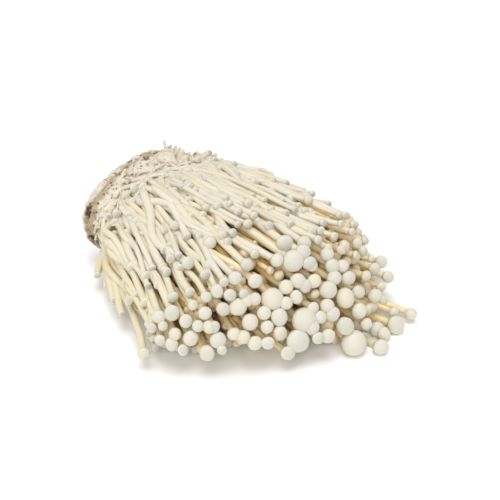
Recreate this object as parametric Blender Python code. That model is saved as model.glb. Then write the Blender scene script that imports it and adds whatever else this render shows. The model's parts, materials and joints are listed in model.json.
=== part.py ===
"""Enoki mushroom bunch lying on its side, in metres, +Z up.

What grew as one thing is one body: the fused root with its stems and caps. A rind of the
growing medium still sticks to the root end. The root end is at -X, the caps fan out
towards +X, and the origin is the middle of the flat spot that the bunch rests on.
"""

import math
import random

import bmesh
import bpy
import numpy as np
from mathutils import Vector
from mathutils.bvhtree import BVHTree
from mathutils.interpolate import poly_3d_calc

# The bunch as a whole
BUNCH_LENGTH = 0.147  # root end to the furthest caps
REST_FROM_ROOT = 0.050  # root end to the middle of the resting spot, under the weight
ROOT_HALF_WIDTH = 0.038
NEAR_FLARE = 0.0055  # how much further than that the root end reaches at -Y
NEAR_FLARE_LENGTH = 0.15  # share of the length over which that flare fades
ROOT_HEIGHT = 0.051
ROOT_END_DROP = 0.003  # how much lower than that the top of the root end is
ROOT_DROP_LENGTH = 0.22  # share of the length over which that drop fades
CAP_END_HEIGHT = 0.046
ROOT_MIDDLE = 0.026  # height of the root section's widest level
CAP_END_MIDDLE = 0.013  # the same where the caps lie spread on the surface
MIDDLE_SETTLES_BY = 0.77  # share of the length after which the stems lie flat
FAN_ANGLE = math.radians(23.0)  # heading of the outermost stems at their caps
FAN_AT_ROOT = 0.35  # share of that heading that the stems already have at the root
NEAR_SHORTENING = 0.31  # share by which the outermost stems at -Y are shorter
FAR_SHORTENING = 0.46  # the same at +Y
SHORTENING_POWER = 1.5
TOP_SHORTENING = 0.15
UPPER_ROUNDNESS = 1.85  # 2 is an ellipse, more is squarer
FAR_UPPER_ROUNDNESS = 1.5  # the upper shoulder at +Y falls off more
LOWER_ROUNDNESS = 3.2
FRONT_EYE = 0.01  # share of the front's section that its innermost ring encloses

# Rind of growing medium
RIND_THICKNESS = 0.0062
RIND_EDGE_SWELL = 0.0007
RIND_RINGS = (  # distance from the root end, depth in the section, and share of the swell
    (0.0, 0.88, 0.3),
    (0.0016, 0.985, 1.0),
    (0.0042, 0.995, 1.0),
    (RIND_THICKNESS, 0.97, 0.6),
)
GAP = 0.0003  # between touching solids

# Fused root and the inner core that the stems stand out of
BLOCK_END = 0.15  # as shares of the length
WAIST = 0.27
CORE_END = 0.72
BLOCK_DEPTH = 0.985  # as shares of the section
CORE_DEPTH = 0.80
CORE_LEVELS = (0.10, BLOCK_END, 0.20, WAIST, 0.31, 0.42, 0.53, 0.64, CORE_END)
REST_FIRST, REST_LAST = 0.12, 0.66  # levels between which the underside is pressed flat
REST_PRESS = 0.0016  # what lies lower than this there is flat on the surface

# Mushrooms
ROOT_RADIUS = 0.00185
NECK_RADIUS = 0.0010
NECK_PER_CAP = 0.11  # what a cap's radius adds to the neck below it
ROOT_SINK = 0.16  # how much deeper than its own place a stem starts in the fused root
LEAST_CAP_RADIUS = 0.0016
SIX_SIDED = 1.07  # makes up for what six flat sides take off a round
FLOOR_CLEARANCE = 0.0003
HIGHEST = 0.0515  # no cap or stem reaches above this
UPPER_CAPS_END = 0.86  # caps with a shorter reach stand on the stems round them
CAP_LIFT = 0.0012
STEM_START = 0.062  # share of the length at which a stem's root lies
STEM_ROOT_X = RIND_THICKNESS + 0.0022  # least distance of a root from the root end
STATIONS = tuple(np.linspace(STEM_START, 0.98, 10))
STEM_WAVE = 0.0011
SETTLING_STEPS = 60
SEED = 11

# Where the camera stood, in the bunch's frame measured from the root end
VIEW_AZIMUTH = math.radians(45.0)
VIEW_ELEVATION = math.radians(31.0)
VIEW_DISTANCE = 0.420
VIEW_TARGET = Vector((0.0765, 0.0015, 0.020))
FOCAL_PIXELS = 880.0
PICTURE_CENTRE = 250.0

# Caps that stand out in the picture, each as its middle and its width in pixels
FRONT_CAPS = (
    (272, 299, 22), (298, 341, 22), (304, 320, 24), (354, 343, 24), (293, 261, 21),
    (345, 298, 19), (345, 326, 17), (328, 290, 17), (285, 244, 17), (279, 317, 17),
    (250, 322, 16), (298, 281, 15), (334, 278, 14), (348, 278, 14),
    (332, 266, 14), (327, 254, 13), (277, 260, 13), (286, 287, 14),
    (296, 297, 13), (327, 306, 14), (359, 311, 15), (328, 336, 14), (381, 347, 14),
    (396, 325, 16), (411, 314, 11), (394, 312, 10), (383, 301, 10), (381, 262, 12),
    (388, 277, 11), (366, 276, 10), (381, 287, 10), (357, 243, 10), (341, 250, 9),
    (288, 353, 14), (255, 343, 14), (255, 299, 12),
)
LEFT_CAPS = (
    (238, 307, 17), (230, 295, 12), (217, 291, 13), (223, 309, 13), (235, 278, 13),
    (255, 281, 14), (247, 265, 12), (205, 313, 13), (191, 338, 15), (218, 340, 16),
    (207, 353, 15), (186, 321, 13), (159, 317, 13), (172, 313, 15), (175, 334, 12),
    (172, 344, 13), (144, 353, 11), (193, 305, 10), (145, 302, 9), (137, 279, 8),
    (163, 267, 9), (97, 275, 6), (107, 286, 6), (114, 300, 7), (122, 314, 7),
)
TOP_CAPS = (
    (210, 265, 11), (188, 263, 12), (210, 243, 12), (238, 212, 9), (269, 226, 9),
    (312, 232, 9), (257, 206, 7), (286, 213, 7), (315, 215, 6), (159, 237, 8),
    (187, 236, 8), (345, 215, 6), (303, 191, 5), (258, 171, 5),
)
HIDDEN_CAPS = 42  # placed by rule where the picture doesn't look
# Outline of the bunch in the picture, inside which the hidden caps stay
UPPER_EDGE = (
    (85, 196), (105, 170), (125, 154), (155, 149), (195, 153), (225, 159), (255, 165),
    (285, 178), (315, 191), (325, 200), (355, 214), (365, 236), (375, 252), (385, 256),
    (395, 274), (405, 304), (420, 308), (440, 340),
)
LOWER_EDGE = (
    (60, 230), (85, 232), (100, 284), (125, 316), (145, 352), (185, 352), (215, 356), (245, 346),
    (285, 352), (320, 342), (350, 350), (385, 350), (412, 318), (440, 300),
)
EDGE_MARGIN = 1.0

# Pins, small stunted mushrooms that stand up from the root, each as its foot and its tip in pixels
PINS = ((166, 157, 164, 140), (170, 158, 172, 146), (174, 159, 176, 147), (180, 161, 183, 151))
PIN_RADIUS = 0.0011
PIN_TIP_RADIUS = 0.0007
PIN_SINK = 0.003


def section_place(turn, depth):
    """Side and rise, each from -1 to 1, at an angle round the section and a depth from its middle."""
    across, upwards = math.cos(turn), math.sin(turn)
    upper = FAR_UPPER_ROUNDNESS if across > 0 else UPPER_ROUNDNESS
    power = 2 / (upper if upwards > 0 else LOWER_ROUNDNESS)
    side = depth * math.copysign(abs(across) ** power, across)
    rise = depth * math.copysign(abs(upwards) ** power, upwards)
    return side, rise


def bunch_point(side, rise, along):
    """Point of the bunch's form, where along runs from 0 at the root end to 1 at the furthest caps."""
    height = ROOT_HEIGHT + (CAP_END_HEIGHT - ROOT_HEIGHT) * along
    height -= ROOT_END_DROP * max(0, 1 - along / ROOT_DROP_LENGTH) ** 2
    settled = min(1.0, along / MIDDLE_SETTLES_BY)
    middle = ROOT_MIDDLE + (CAP_END_MIDDLE - ROOT_MIDDLE) * settled
    heading = FAN_ANGLE * side * (FAN_AT_ROOT + (1 - FAN_AT_ROOT) * along)
    shortening = FAR_SHORTENING if side > 0 else NEAR_SHORTENING
    side_share = 1 - shortening * abs(side) ** SHORTENING_POWER
    top_share = 1 - TOP_SHORTENING * max(rise, 0)
    reach = BUNCH_LENGTH * along * side_share * top_share
    flare = NEAR_FLARE * max(0, 1 - along / NEAR_FLARE_LENGTH) ** 2 if side < 0 else 0
    return Vector((
        reach * math.cos(heading) - REST_FROM_ROOT,
        (ROOT_HALF_WIDTH + flare) * side + reach * math.sin(heading),
        middle + rise * (height - middle if rise > 0 else middle),
    ))


def lofted_mesh(name, rings):
    """Closed mesh through rings of points, which all hold as many points and run the same way round."""
    mesh = bmesh.new()
    loops = [[mesh.verts.new(point) for point in ring] for ring in rings]
    for ring, following in zip(loops, loops[1:]):
        for i, corner in enumerate(ring):
            before = i - 1
            mesh.faces.new((ring[before], corner, following[i], following[before]))
    mesh.faces.new(loops[0])
    mesh.faces.new(reversed(loops[-1]))
    bmesh.ops.recalc_face_normals(mesh, faces=mesh.faces)
    data = bpy.data.meshes.new(name)
    mesh.to_mesh(data)
    mesh.free()
    return data


def form_surface():
    """The bunch's outer form as a search tree, with each face's corners and their places on the form."""
    around, steps, inner = 48, 24, 8
    places = []
    for step in range(steps + 1):
        places.append([(turn, 1.0, step / steps) for turn in range(around)])
    for step in range(1, inner + 1):
        places.append([(turn, max(1 - step / inner, FRONT_EYE), 1.0) for turn in range(around)])
    keys = [
        section_place(2 * math.pi * turn / around, depth) + (along,)
        for ring in places
        for turn, depth, along in ring
    ]
    points = [bunch_point(*key) for key in keys]
    faces = []
    for ring in range(len(places) - 1):
        for i in range(around):
            a, b = ring * around + i, ring * around + (i + 1) % around
            faces.append((a, b, b + around, a + around))
    return BVHTree.FromPolygons(points, faces), points, faces, keys


def view_frame():
    """The eye, and the directions to its right, upwards and backwards."""
    away = Vector((
        math.sin(VIEW_AZIMUTH) * math.cos(VIEW_ELEVATION),
        -math.cos(VIEW_AZIMUTH) * math.cos(VIEW_ELEVATION),
        math.sin(VIEW_ELEVATION),
    ))
    right = Vector((math.cos(VIEW_AZIMUTH), math.sin(VIEW_AZIMUTH), 0))
    target = VIEW_TARGET - Vector((REST_FROM_ROOT, 0, 0))
    return target + away * VIEW_DISTANCE, right, away.cross(right), away


def sight_line(x, y):
    """The eye and the direction in which it sees a pixel."""
    eye, right, up, away = view_frame()
    direction = right * (x - PICTURE_CENTRE) - up * (y - PICTURE_CENTRE) - away * FOCAL_PIXELS
    return eye, direction.normalized()


def inside_outline(middle, radius):
    """Whether a cap is seen inside the outline of the bunch."""
    eye, right, up, away = view_frame()
    offset = middle - eye
    scale = -FOCAL_PIXELS / offset.dot(away)
    x = PICTURE_CENTRE + scale * offset.dot(right)
    y = PICTURE_CENTRE - scale * offset.dot(up)
    size = radius * scale - EDGE_MARGIN
    return np.interp(x, *zip(*UPPER_EDGE)) < y - size and y + size < np.interp(x, *zip(*LOWER_EDGE))


def seen_cap(x, y, width, surface):
    """Middle, radius and place on the form of a cap that the picture shows."""
    tree, points, faces, keys = surface
    eye, direction = sight_line(x, y)
    hit, _, index, distance = tree.ray_cast(eye, direction)
    if hit is None:
        reaches = [VIEW_DISTANCE * (0.7 + 0.6 * i / 60) for i in range(61)]
        distance = min(reaches, key=lambda reach: tree.find_nearest(eye + direction * reach)[3])
        hit, _, index, _ = tree.find_nearest(eye + direction * distance)
    radius = max(0.5 * width * distance / FOCAL_PIXELS, LEAST_CAP_RADIUS)
    middle = eye + direction * (distance + 0.8 * radius)
    if middle.z < radius + FLOOR_CLEARANCE:
        middle = eye + direction * ((radius + FLOOR_CLEARANCE - eye.z) / direction.z)
    weights = poly_3d_calc([points[corner] for corner in faces[index]], hit)
    corners = [keys[corner] for corner in faces[index]]
    place = [sum(w * key[axis] for w, key in zip(weights, corners)) for axis in range(3)]
    if place[2] < UPPER_CAPS_END:
        middle -= direction * (1.1 * radius + CAP_LIFT)
        middle.z = min(middle.z, HIGHEST - radius)
    return middle, radius, place


def hidden_cap(number, draw):
    """Middle, radius and place of a cap on the far side, underneath or deep in the front."""
    golden = (number * 0.61803) % 1
    if number % 5 == 0:
        turn = math.radians(-175 + 170 * golden)
        depth, along = 0.93, draw.uniform(0.60, 0.86)
    elif number % 5 < 4:
        turn = math.radians(-20 + 96 * golden)
        depth, along = 0.97, draw.uniform(0.42, 1.0)
    else:
        turn = math.radians(360 * golden)
        depth, along = 0.9 * math.sqrt((number * 0.7549) % 1), draw.uniform(0.93, 0.99)
    radius = draw.uniform(0.0022, 0.0040)
    place = (*section_place(turn, depth), along)
    middle = bunch_point(*place)
    middle.z = max(middle.z, radius + FLOOR_CLEARANCE)
    return middle, radius, place


def plan_mushrooms():
    """Every mushroom as its cap's middle, cap's radius and place on the form."""
    surface = form_surface()
    draw = random.Random(SEED)
    plans = [seen_cap(*cap, surface) for cap in FRONT_CAPS + LEFT_CAPS + TOP_CAPS]
    number = 0
    wanted = len(plans) + HIDDEN_CAPS
    while len(plans) < wanted:
        number += 1
        middle, radius, place = hidden_cap(number, draw)
        clear = all((middle - other).length > radius + size for other, size, _ in plans)
        if clear and inside_outline(middle, radius):
            plans.append((middle, radius, place))
    return plans


def stem_lines(plans):
    """Each stem's points at the stations, as an array, and how many of them lie below its neck."""
    draw = random.Random(SEED)
    lines = np.zeros((len(plans), len(STATIONS), 3))
    counts = []
    for row, (middle, radius, (side, rise, along)) in enumerate(plans):
        tip = bunch_point(side, rise, along)
        phase, waves = draw.uniform(0, 2 * math.pi), draw.uniform(0.8, 1.6)
        for column, station in enumerate(STATIONS):
            share = min(station / along, 1)
            sunk = 1 - ROOT_SINK * max(0, 1 - station / WAIST)
            point = bunch_point(side * sunk, rise * sunk, min(station, along))
            point += (middle - tip) * share**2
            swing = STEM_WAVE * math.sin(math.pi * share)
            point.y += swing * math.sin(phase + 2 * math.pi * waves * share)
            point.z += swing * math.cos(phase + 2 * math.pi * waves * share)
            lines[row, column] = point
        below = 1 + max(i for i, station in enumerate(STATIONS) if i < 2 or station < along - 0.07)
        counts.append(below)
    return lines, np.array(counts)


def stem_radius(share, cap_radius):
    """A stem's radius at a share of the way from its root to its neck."""
    neck = NECK_RADIUS + NECK_PER_CAP * cap_radius
    return ROOT_RADIUS + (neck - ROOT_RADIUS) * share**0.7


def settle(lines, counts, plans):
    """Push the stems clear of each other, station by station, while each keeps near its own line."""
    home = lines.copy()
    radii = np.array([radius for _, radius, _ in plans])
    for _ in range(SETTLING_STEPS):
        for column, station in enumerate(STATIONS[1:], 1):
            rows = np.flatnonzero(counts > column)
            if len(rows) < 2:
                continue
            points = lines[rows, column]
            thick = stem_radius(station, radii[rows])
            apart = points[:, None] - points[None]
            distance = np.linalg.norm(apart, axis=2) + 1e-9
            overlap = np.clip(thick[:, None] + thick[None] + GAP - distance, 0, None)
            np.fill_diagonal(overlap, 0)
            push = (apart / distance[..., None] * overlap[..., None]).sum(axis=1)
            points = points + 0.35 * push + 0.04 * (home[rows, column] - points)
            points[:, 2] = np.maximum(points[:, 2], thick + FLOOR_CLEARANCE)
            points[:, 2] = np.minimum(points[:, 2], HIGHEST - thick)
            lines[rows, column] = points
        middle = 0.5 * (lines[:, :-2] + lines[:, 2:])
        lines[:, 1:-1] += 0.25 * (middle - lines[:, 1:-1])
        lines[..., 0] = np.maximum(lines[..., 0], STEM_ROOT_X - REST_FROM_ROOT)
        lines[..., 2] = np.maximum(lines[..., 2], ROOT_RADIUS + FLOOR_CLEARANCE)
    return lines


def mushroom_points(line, count, middle, radius):
    """Points and radii from root to cap top: three along the stem, the neck and three for the cap."""
    path = [Vector(point) for point in line[:count]]
    lengths = [0.0]
    for before, point in zip(path, path[1:]):
        lengths.append(lengths[-1] + (point - before).length)
    chosen = []
    for share in (0.0, 0.36, 0.70):
        reach = share * lengths[-1]
        index = max(i for i, length in enumerate(lengths[:-1]) if length <= reach)
        step = (reach - lengths[index]) / (lengths[index + 1] - lengths[index])
        chosen.append((path[index].lerp(path[index + 1], step), stem_radius(share, radius)))
    heading = (middle - chosen[-1][0]).normalized()
    for offset, size in ((-0.95, None), (-0.5, 0.82), (0.02, 1.0), (0.74, 0.5)):
        size = stem_radius(1.0, radius) if size is None else size * radius
        chosen.append((middle + heading * offset * radius, size))
    return [(point, size * SIX_SIDED) for point, size in chosen]


def pin_points(foot_x, foot_y, tip_x, tip_y, surface):
    """Points and radii of a pin, from inside the root to its tip."""
    eye, direction = sight_line(foot_x, foot_y)
    foot, _, _, distance = surface[0].ray_cast(eye, direction)
    tip = eye + sight_line(tip_x, tip_y)[1] * distance
    sunk = foot + direction * PIN_SINK
    swollen = foot.lerp(tip, 0.8)
    radii = (PIN_RADIUS, PIN_RADIUS, PIN_RADIUS * 1.1, PIN_TIP_RADIUS)
    return list(zip((sunk, foot, swollen, tip), radii))


def mushroom_object(points, collection):
    """One mushroom as a mesh: a curve whose bevel swells into the cap, six-sided."""
    curve = bpy.data.curves.new("mushroom", "CURVE")
    curve.dimensions = "3D"
    curve.bevel_depth = 1.0
    curve.bevel_resolution = 1
    curve.use_fill_caps = True
    spline = curve.splines.new("POLY")
    spline.points.add(len(points) - 1)
    for knot, (point, radius) in zip(spline.points, points):
        knot.co = (*point, 1)
        knot.radius = radius
    tube = bpy.data.objects.new("mushroom", curve)
    collection.objects.link(tube)
    bpy.context.view_layer.update()
    data = bpy.data.meshes.new_from_object(tube.evaluated_get(bpy.context.evaluated_depsgraph_get()))
    bpy.data.objects.remove(tube)
    mesh = bmesh.new()
    mesh.from_mesh(data)
    bmesh.ops.remove_doubles(mesh, verts=mesh.verts, dist=1e-6)
    bmesh.ops.recalc_face_normals(mesh, faces=mesh.faces)
    mesh.to_mesh(data)
    mesh.free()
    collection.objects.link(bpy.data.objects.new("mushroom", data))


def ring_depth(along):
    """Depth of the fused root and core: full at the root, drawn in past the waist, closed in front."""
    if along <= BLOCK_END:
        return BLOCK_DEPTH
    if along <= WAIST:
        share = (along - BLOCK_END) / (WAIST - BLOCK_END)
        return BLOCK_DEPTH + (CORE_DEPTH - BLOCK_DEPTH) * (3 * share**2 - 2 * share**3)
    share = (along - WAIST) / (CORE_END - WAIST)
    return CORE_DEPTH * math.sqrt(max(1 - 0.78 * share**3, 0))


def core_mesh():
    """Fused root and inner core, pressed flat underneath where the bunch rests."""
    around = 26
    first = (RIND_THICKNESS + GAP) / BUNCH_LENGTH
    rings = []
    for along in (first,) + CORE_LEVELS:
        depth = ring_depth(along)
        ring = []
        for i in range(around):
            side, rise = section_place(2 * math.pi * (i + 0.5) / around, depth)
            point = bunch_point(side, rise / depth if rise < 0 else rise, along)
            if along == first:
                point.x = RIND_THICKNESS + GAP - REST_FROM_ROOT
            if REST_FIRST < along < REST_LAST and point.z < REST_PRESS:
                point.z = 0
            else:
                point.z = max(point.z, 2 * FLOOR_CLEARANCE)
            ring.append(point)
        rings.append(ring)
    return lofted_mesh("core", rings)


def keep_largest_surface(data):
    """Drop loose scraps and the skins of hollows that the stems have sealed between them."""
    mesh = bmesh.new()
    mesh.from_mesh(data)
    bmesh.ops.triangulate(mesh, faces=mesh.faces)
    waiting = set(mesh.verts)
    largest = set()
    while waiting:
        edge_of = [waiting.pop()]
        island = set(edge_of)
        while edge_of:
            for edge in edge_of.pop().link_edges:
                for vert in edge.verts:
                    if vert not in island:
                        island.add(vert)
                        edge_of.append(vert)
        waiting -= island
        largest = max(largest, island, key=len)
    bmesh.ops.delete(mesh, geom=[v for v in mesh.verts if v not in largest], context="VERTS")
    mesh.to_mesh(data)
    mesh.free()


def build_bunch(collection, material):
    """The grown body: the core and every mushroom, joined by one union."""
    pieces = bpy.data.collections.new("mushrooms")
    bpy.context.scene.collection.children.link(pieces)
    plans = plan_mushrooms()
    lines, counts = stem_lines(plans)
    lines = settle(lines, counts, plans)
    for line, count, (middle, radius, _) in zip(lines, counts, plans):
        mushroom_object(mushroom_points(line, count, middle, radius), pieces)
    surface = form_surface()
    for pin in PINS:
        mushroom_object(pin_points(*pin, surface), pieces)
    core = bpy.data.objects.new("core", core_mesh())
    collection.objects.link(core)
    union = core.modifiers.new("union", "BOOLEAN")
    union.operation = "UNION"
    union.operand_type = "COLLECTION"
    union.collection = pieces
    union.solver = "MANIFOLD"
    bpy.context.view_layer.update()
    data = bpy.data.meshes.new_from_object(core.evaluated_get(bpy.context.evaluated_depsgraph_get()))
    for piece in list(pieces.objects):
        bpy.data.objects.remove(piece)
    bpy.data.objects.remove(core)
    bpy.data.collections.remove(pieces)
    keep_largest_surface(data)
    data.materials.clear()
    data.materials.append(material)
    collection.objects.link(bpy.data.objects.new("mushroom_bunch", data))


def build_rind(collection, material):
    """Uneven rind of growing medium on the root end."""
    around = 36
    draw = random.Random(SEED)
    bumps = [draw.uniform(-1, 1) for _ in range(around)]
    rings = []
    for x, depth, rough in RIND_RINGS:
        ring = []
        for i in range(around):
            swell = RIND_EDGE_SWELL * rough * (bumps[i] + 0.5 * bumps[(i * 5 + 3) % around])
            turn = 2 * math.pi * i / around
            side, rise = section_place(turn, depth)
            point = bunch_point(side, rise, x / BUNCH_LENGTH)
            point.y += swell * math.cos(turn)
            point.z = max(point.z + swell * math.sin(turn), 2 * FLOOR_CLEARANCE)
            point.x = x - REST_FROM_ROOT
            ring.append(point)
        rings.append(ring)
    data = lofted_mesh("growing_medium", rings)
    data.materials.append(material)
    collection.objects.link(bpy.data.objects.new("growing_medium", data))


def plain_material(name, colour, roughness):
    """A Principled material of one colour."""
    material = bpy.data.materials.new(name)
    material.use_nodes = True
    shader = material.node_tree.nodes["Principled BSDF"]
    shader.inputs["Base Color"].default_value = (*colour, 1)
    shader.inputs["Roughness"].default_value = roughness
    shader.inputs["Metallic"].default_value = 0.0
    return material


def main():
    for obj in list(bpy.data.objects):
        bpy.data.objects.remove(obj)
    collection = bpy.data.collections.new("enoki_mushroom_bunch")
    bpy.context.scene.collection.children.link(collection)
    build_bunch(collection, plain_material("mushroom_flesh", (0.80, 0.73, 0.58), 0.5))
    build_rind(collection, plain_material("growing_medium", (0.36, 0.28, 0.18), 0.9))


main()
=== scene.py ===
"""Looks of the enoki mushroom bunch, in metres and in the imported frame.

The root end is at -X, the caps fan out towards +X, and the bunch rests at the origin. All
mushrooms grow along one form. Their centre lines are planned and settled here, Geometry
Nodes give them their flesh, and the fused root and the growing medium are remeshed solids.
"""

import json
import logging
import math
import random
from dataclasses import dataclass, field
from enum import Enum

import bmesh
import bpy
import numpy as np
from mathutils import Matrix, Vector, noise
from mathutils.bvhtree import BVHTree
from mathutils.interpolate import poly_3d_calc

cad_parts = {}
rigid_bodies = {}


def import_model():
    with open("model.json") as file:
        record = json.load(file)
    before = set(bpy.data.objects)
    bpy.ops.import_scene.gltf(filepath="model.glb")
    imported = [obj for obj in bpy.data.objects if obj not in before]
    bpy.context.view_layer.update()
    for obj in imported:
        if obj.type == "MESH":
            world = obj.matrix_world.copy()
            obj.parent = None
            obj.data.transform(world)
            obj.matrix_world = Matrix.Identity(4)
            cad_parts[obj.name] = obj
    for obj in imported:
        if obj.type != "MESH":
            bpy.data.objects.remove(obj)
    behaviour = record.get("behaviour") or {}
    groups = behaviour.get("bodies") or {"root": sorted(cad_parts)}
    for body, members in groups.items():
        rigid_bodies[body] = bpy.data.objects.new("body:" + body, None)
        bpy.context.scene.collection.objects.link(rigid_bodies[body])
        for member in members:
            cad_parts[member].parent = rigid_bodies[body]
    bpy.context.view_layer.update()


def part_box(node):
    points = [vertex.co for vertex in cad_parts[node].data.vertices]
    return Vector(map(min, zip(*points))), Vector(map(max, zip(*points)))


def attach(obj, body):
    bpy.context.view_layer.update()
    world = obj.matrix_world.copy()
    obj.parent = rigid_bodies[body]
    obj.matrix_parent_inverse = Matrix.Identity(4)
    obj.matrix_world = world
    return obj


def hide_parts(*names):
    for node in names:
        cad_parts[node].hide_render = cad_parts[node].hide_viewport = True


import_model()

LOG = logging.getLogger("enoki_bunch")

BODY = "root"
SEED = 11
FLESH_SLOT = "mushroom_flesh"
MEDIUM_SLOT = "growing_medium"
ROOT_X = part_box("growing_medium")[0].x
BLOCK_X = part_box("mushroom_bunch")[0].x
FLOOR_CLEARANCE = 0.0003
GOLDEN = 0.61803
PLASTIC = 0.7549

Place = tuple[float, float, float]
Colour = tuple[float, float, float]
Range = tuple[float, float]


def clamp(value: float, low: float = 0.0, high: float = 1.0) -> float:
    """A number, kept between two others."""
    return min(max(value, low), high)


def within(limits: Range, share: float) -> float:
    """The number at a share of the way through a range."""
    return limits[0] + (limits[1] - limits[0]) * share


class Value:
    """A socket that varies over a shape, on which ordinary arithmetic adds Math nodes."""

    def __init__(self, graph: "Graph", socket: bpy.types.NodeSocket) -> None:
        """Keep the graph and the socket."""
        self.graph = graph
        self.socket = socket

    def _math(self, operation: str, first: object, second: object) -> "Value":
        """Add one Math node.

        Args:
            operation: The node's operation.
            first: Its first value.
            second: Its second value.

        Returns:
            The result as a value.
        """
        made = self.graph.node("ShaderNodeMath", {"operation": operation}, {0: first, 1: second})
        return Value(self.graph, made.outputs[0])

    def __add__(self, other: object) -> "Value":
        """Sum."""
        return self._math("ADD", self, other)

    def __sub__(self, other: object) -> "Value":
        """Difference."""
        return self._math("SUBTRACT", self, other)

    def __rsub__(self, other: object) -> "Value":
        """Difference from a number."""
        return self._math("SUBTRACT", other, self)

    def __mul__(self, other: object) -> "Value":
        """Product."""
        return self._math("MULTIPLY", self, other)

    __radd__, __rmul__ = __add__, __mul__

    def most(self, other: object) -> "Value":
        """The larger of the two."""
        return self._math("MAXIMUM", self, other)

    def rise(self, start: float, end: float) -> "Value":
        """A smooth step.

        Args:
            start: Where the step is still 0.
            end: Where it has reached 1.

        Returns:
            The step, from 0 to 1. Start may lie above end, for a fall.
        """
        low, high, first, last = (start, end, 0.0, 1.0) if start < end else (end, start, 1.0, 0.0)
        made = self.graph.node(
            "ShaderNodeMapRange",
            {"interpolation_type": "SMOOTHSTEP"},
            {0: self, 1: low, 2: high, 3: first, 4: last},
        )
        return Value(self.graph, made.outputs[0])


class Graph:
    """A node tree built by calls, for materials and for geometry alike."""

    def __init__(self, tree: bpy.types.NodeTree) -> None:
        """Keep the tree."""
        self.tree = tree

    def node(self, kind: str, settings: dict | None = None, feeds: dict | None = None) -> bpy.types.Node:
        """Add a node.

        Args:
            kind: The node's type.
            settings: Properties, which are set first.
            feeds: Input names or numbers to values, sockets or constants.

        Returns:
            The new node.
        """
        made = self.tree.nodes.new(kind)
        for name, value in (settings or {}).items():
            setattr(made, name, value)
        for name, value in (feeds or {}).items():
            self.feed(made.inputs[name], value)
        return made

    def feed(self, target: bpy.types.NodeSocket, value: object) -> None:
        """Link a socket or value to an input, or set it to a constant.

        Args:
            target: The input.
            value: What feeds it.
        """
        if isinstance(value, Value):
            value = value.socket
        if isinstance(value, bpy.types.NodeSocket):
            self.tree.links.new(value, target)
        elif target.type == "RGBA" and len(value) == 3:
            target.default_value = (*value, 1.0)
        else:
            target.default_value = value

    def noise(self, where: object, scale: float, detail: float = 3.0, rough: float = 0.55) -> Value:
        """Smooth noise between about 0.2 and 0.8.

        Args:
            where: The place to read it at.
            scale: Features per metre, or per unit of where.
            detail: Octaves.
            rough: How much the finer octaves count.

        Returns:
            The noise.
        """
        feeds = {"Vector": where, "Scale": scale, "Detail": detail, "Roughness": rough}
        return Value(self, self.node("ShaderNodeTexNoise", None, feeds).outputs[0])

    def cells(self, where: object, scale: float) -> Value:
        """Distance to the nearest of many scattered points, as a share of their spacing."""
        made = self.node("ShaderNodeTexVoronoi", None, {"Vector": where, "Scale": scale})
        return Value(self, made.outputs["Distance"])

    def mix(self, factor: object, first: object, second: object) -> bpy.types.NodeSocket:
        """One colour passing into another.

        Args:
            factor: 0 for the first, 1 for the second.
            first: A colour or socket.
            second: A colour or socket.

        Returns:
            The mixed colour's socket.
        """
        made = self.node("ShaderNodeMix", {"data_type": "RGBA"}, {0: factor, 6: first, 7: second})
        return made.outputs[2]


class Skin(Graph):
    """A material's graph, which ends in one Principled shader."""

    def __init__(self, name: str, constants: dict) -> None:
        """Start a material.

        Args:
            name: Its name.
            constants: Inputs of the shader that are the same all over.
        """
        self.material = bpy.data.materials.new(name)
        self.material.use_nodes = True
        super().__init__(self.material.node_tree)
        self.shader = self.tree.nodes["Principled BSDF"]
        for key, value in constants.items():
            self.feed(self.shader.inputs[key], value)

    def attribute(self, name: str) -> Value:
        """A number that the mesh carries at its points."""
        made = self.node("ShaderNodeAttribute", {"attribute_name": name})
        return Value(self, made.outputs["Fac"])

    def here(self) -> bpy.types.NodeSocket:
        """The place on the piece, in metres."""
        return self.node("ShaderNodeTexCoord").outputs["Object"]

    def part_of(self, place: bpy.types.NodeSocket, axis: str) -> Value:
        """One coordinate of a place."""
        return Value(self, self.node("ShaderNodeSeparateXYZ", None, {0: place}).outputs[axis])

    def finish(
        self, colour: object, roughness: object, height: Value, depth: float
    ) -> bpy.types.Material:
        """Connect what varies.

        Args:
            colour: Base colour.
            roughness: Roughness.
            height: The fine relief, from 0 to 1.
            depth: How many metres that relief is deep.

        Returns:
            The finished material.
        """
        bump = self.node("ShaderNodeBump", None, {"Strength": 1.0, "Distance": depth, "Height": height})
        self.feed(self.shader.inputs["Base Color"], colour)
        self.feed(self.shader.inputs["Roughness"], roughness)
        self.feed(self.shader.inputs["Normal"], bump.outputs[0])
        return self.material


SOFT_FLESH = {
    "Subsurface Weight": 0.30,
    "Subsurface Radius": (1.0, 0.82, 0.60),
    "Subsurface Scale": 0.0010,
    "Specular IOR Level": 0.35,
}


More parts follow.
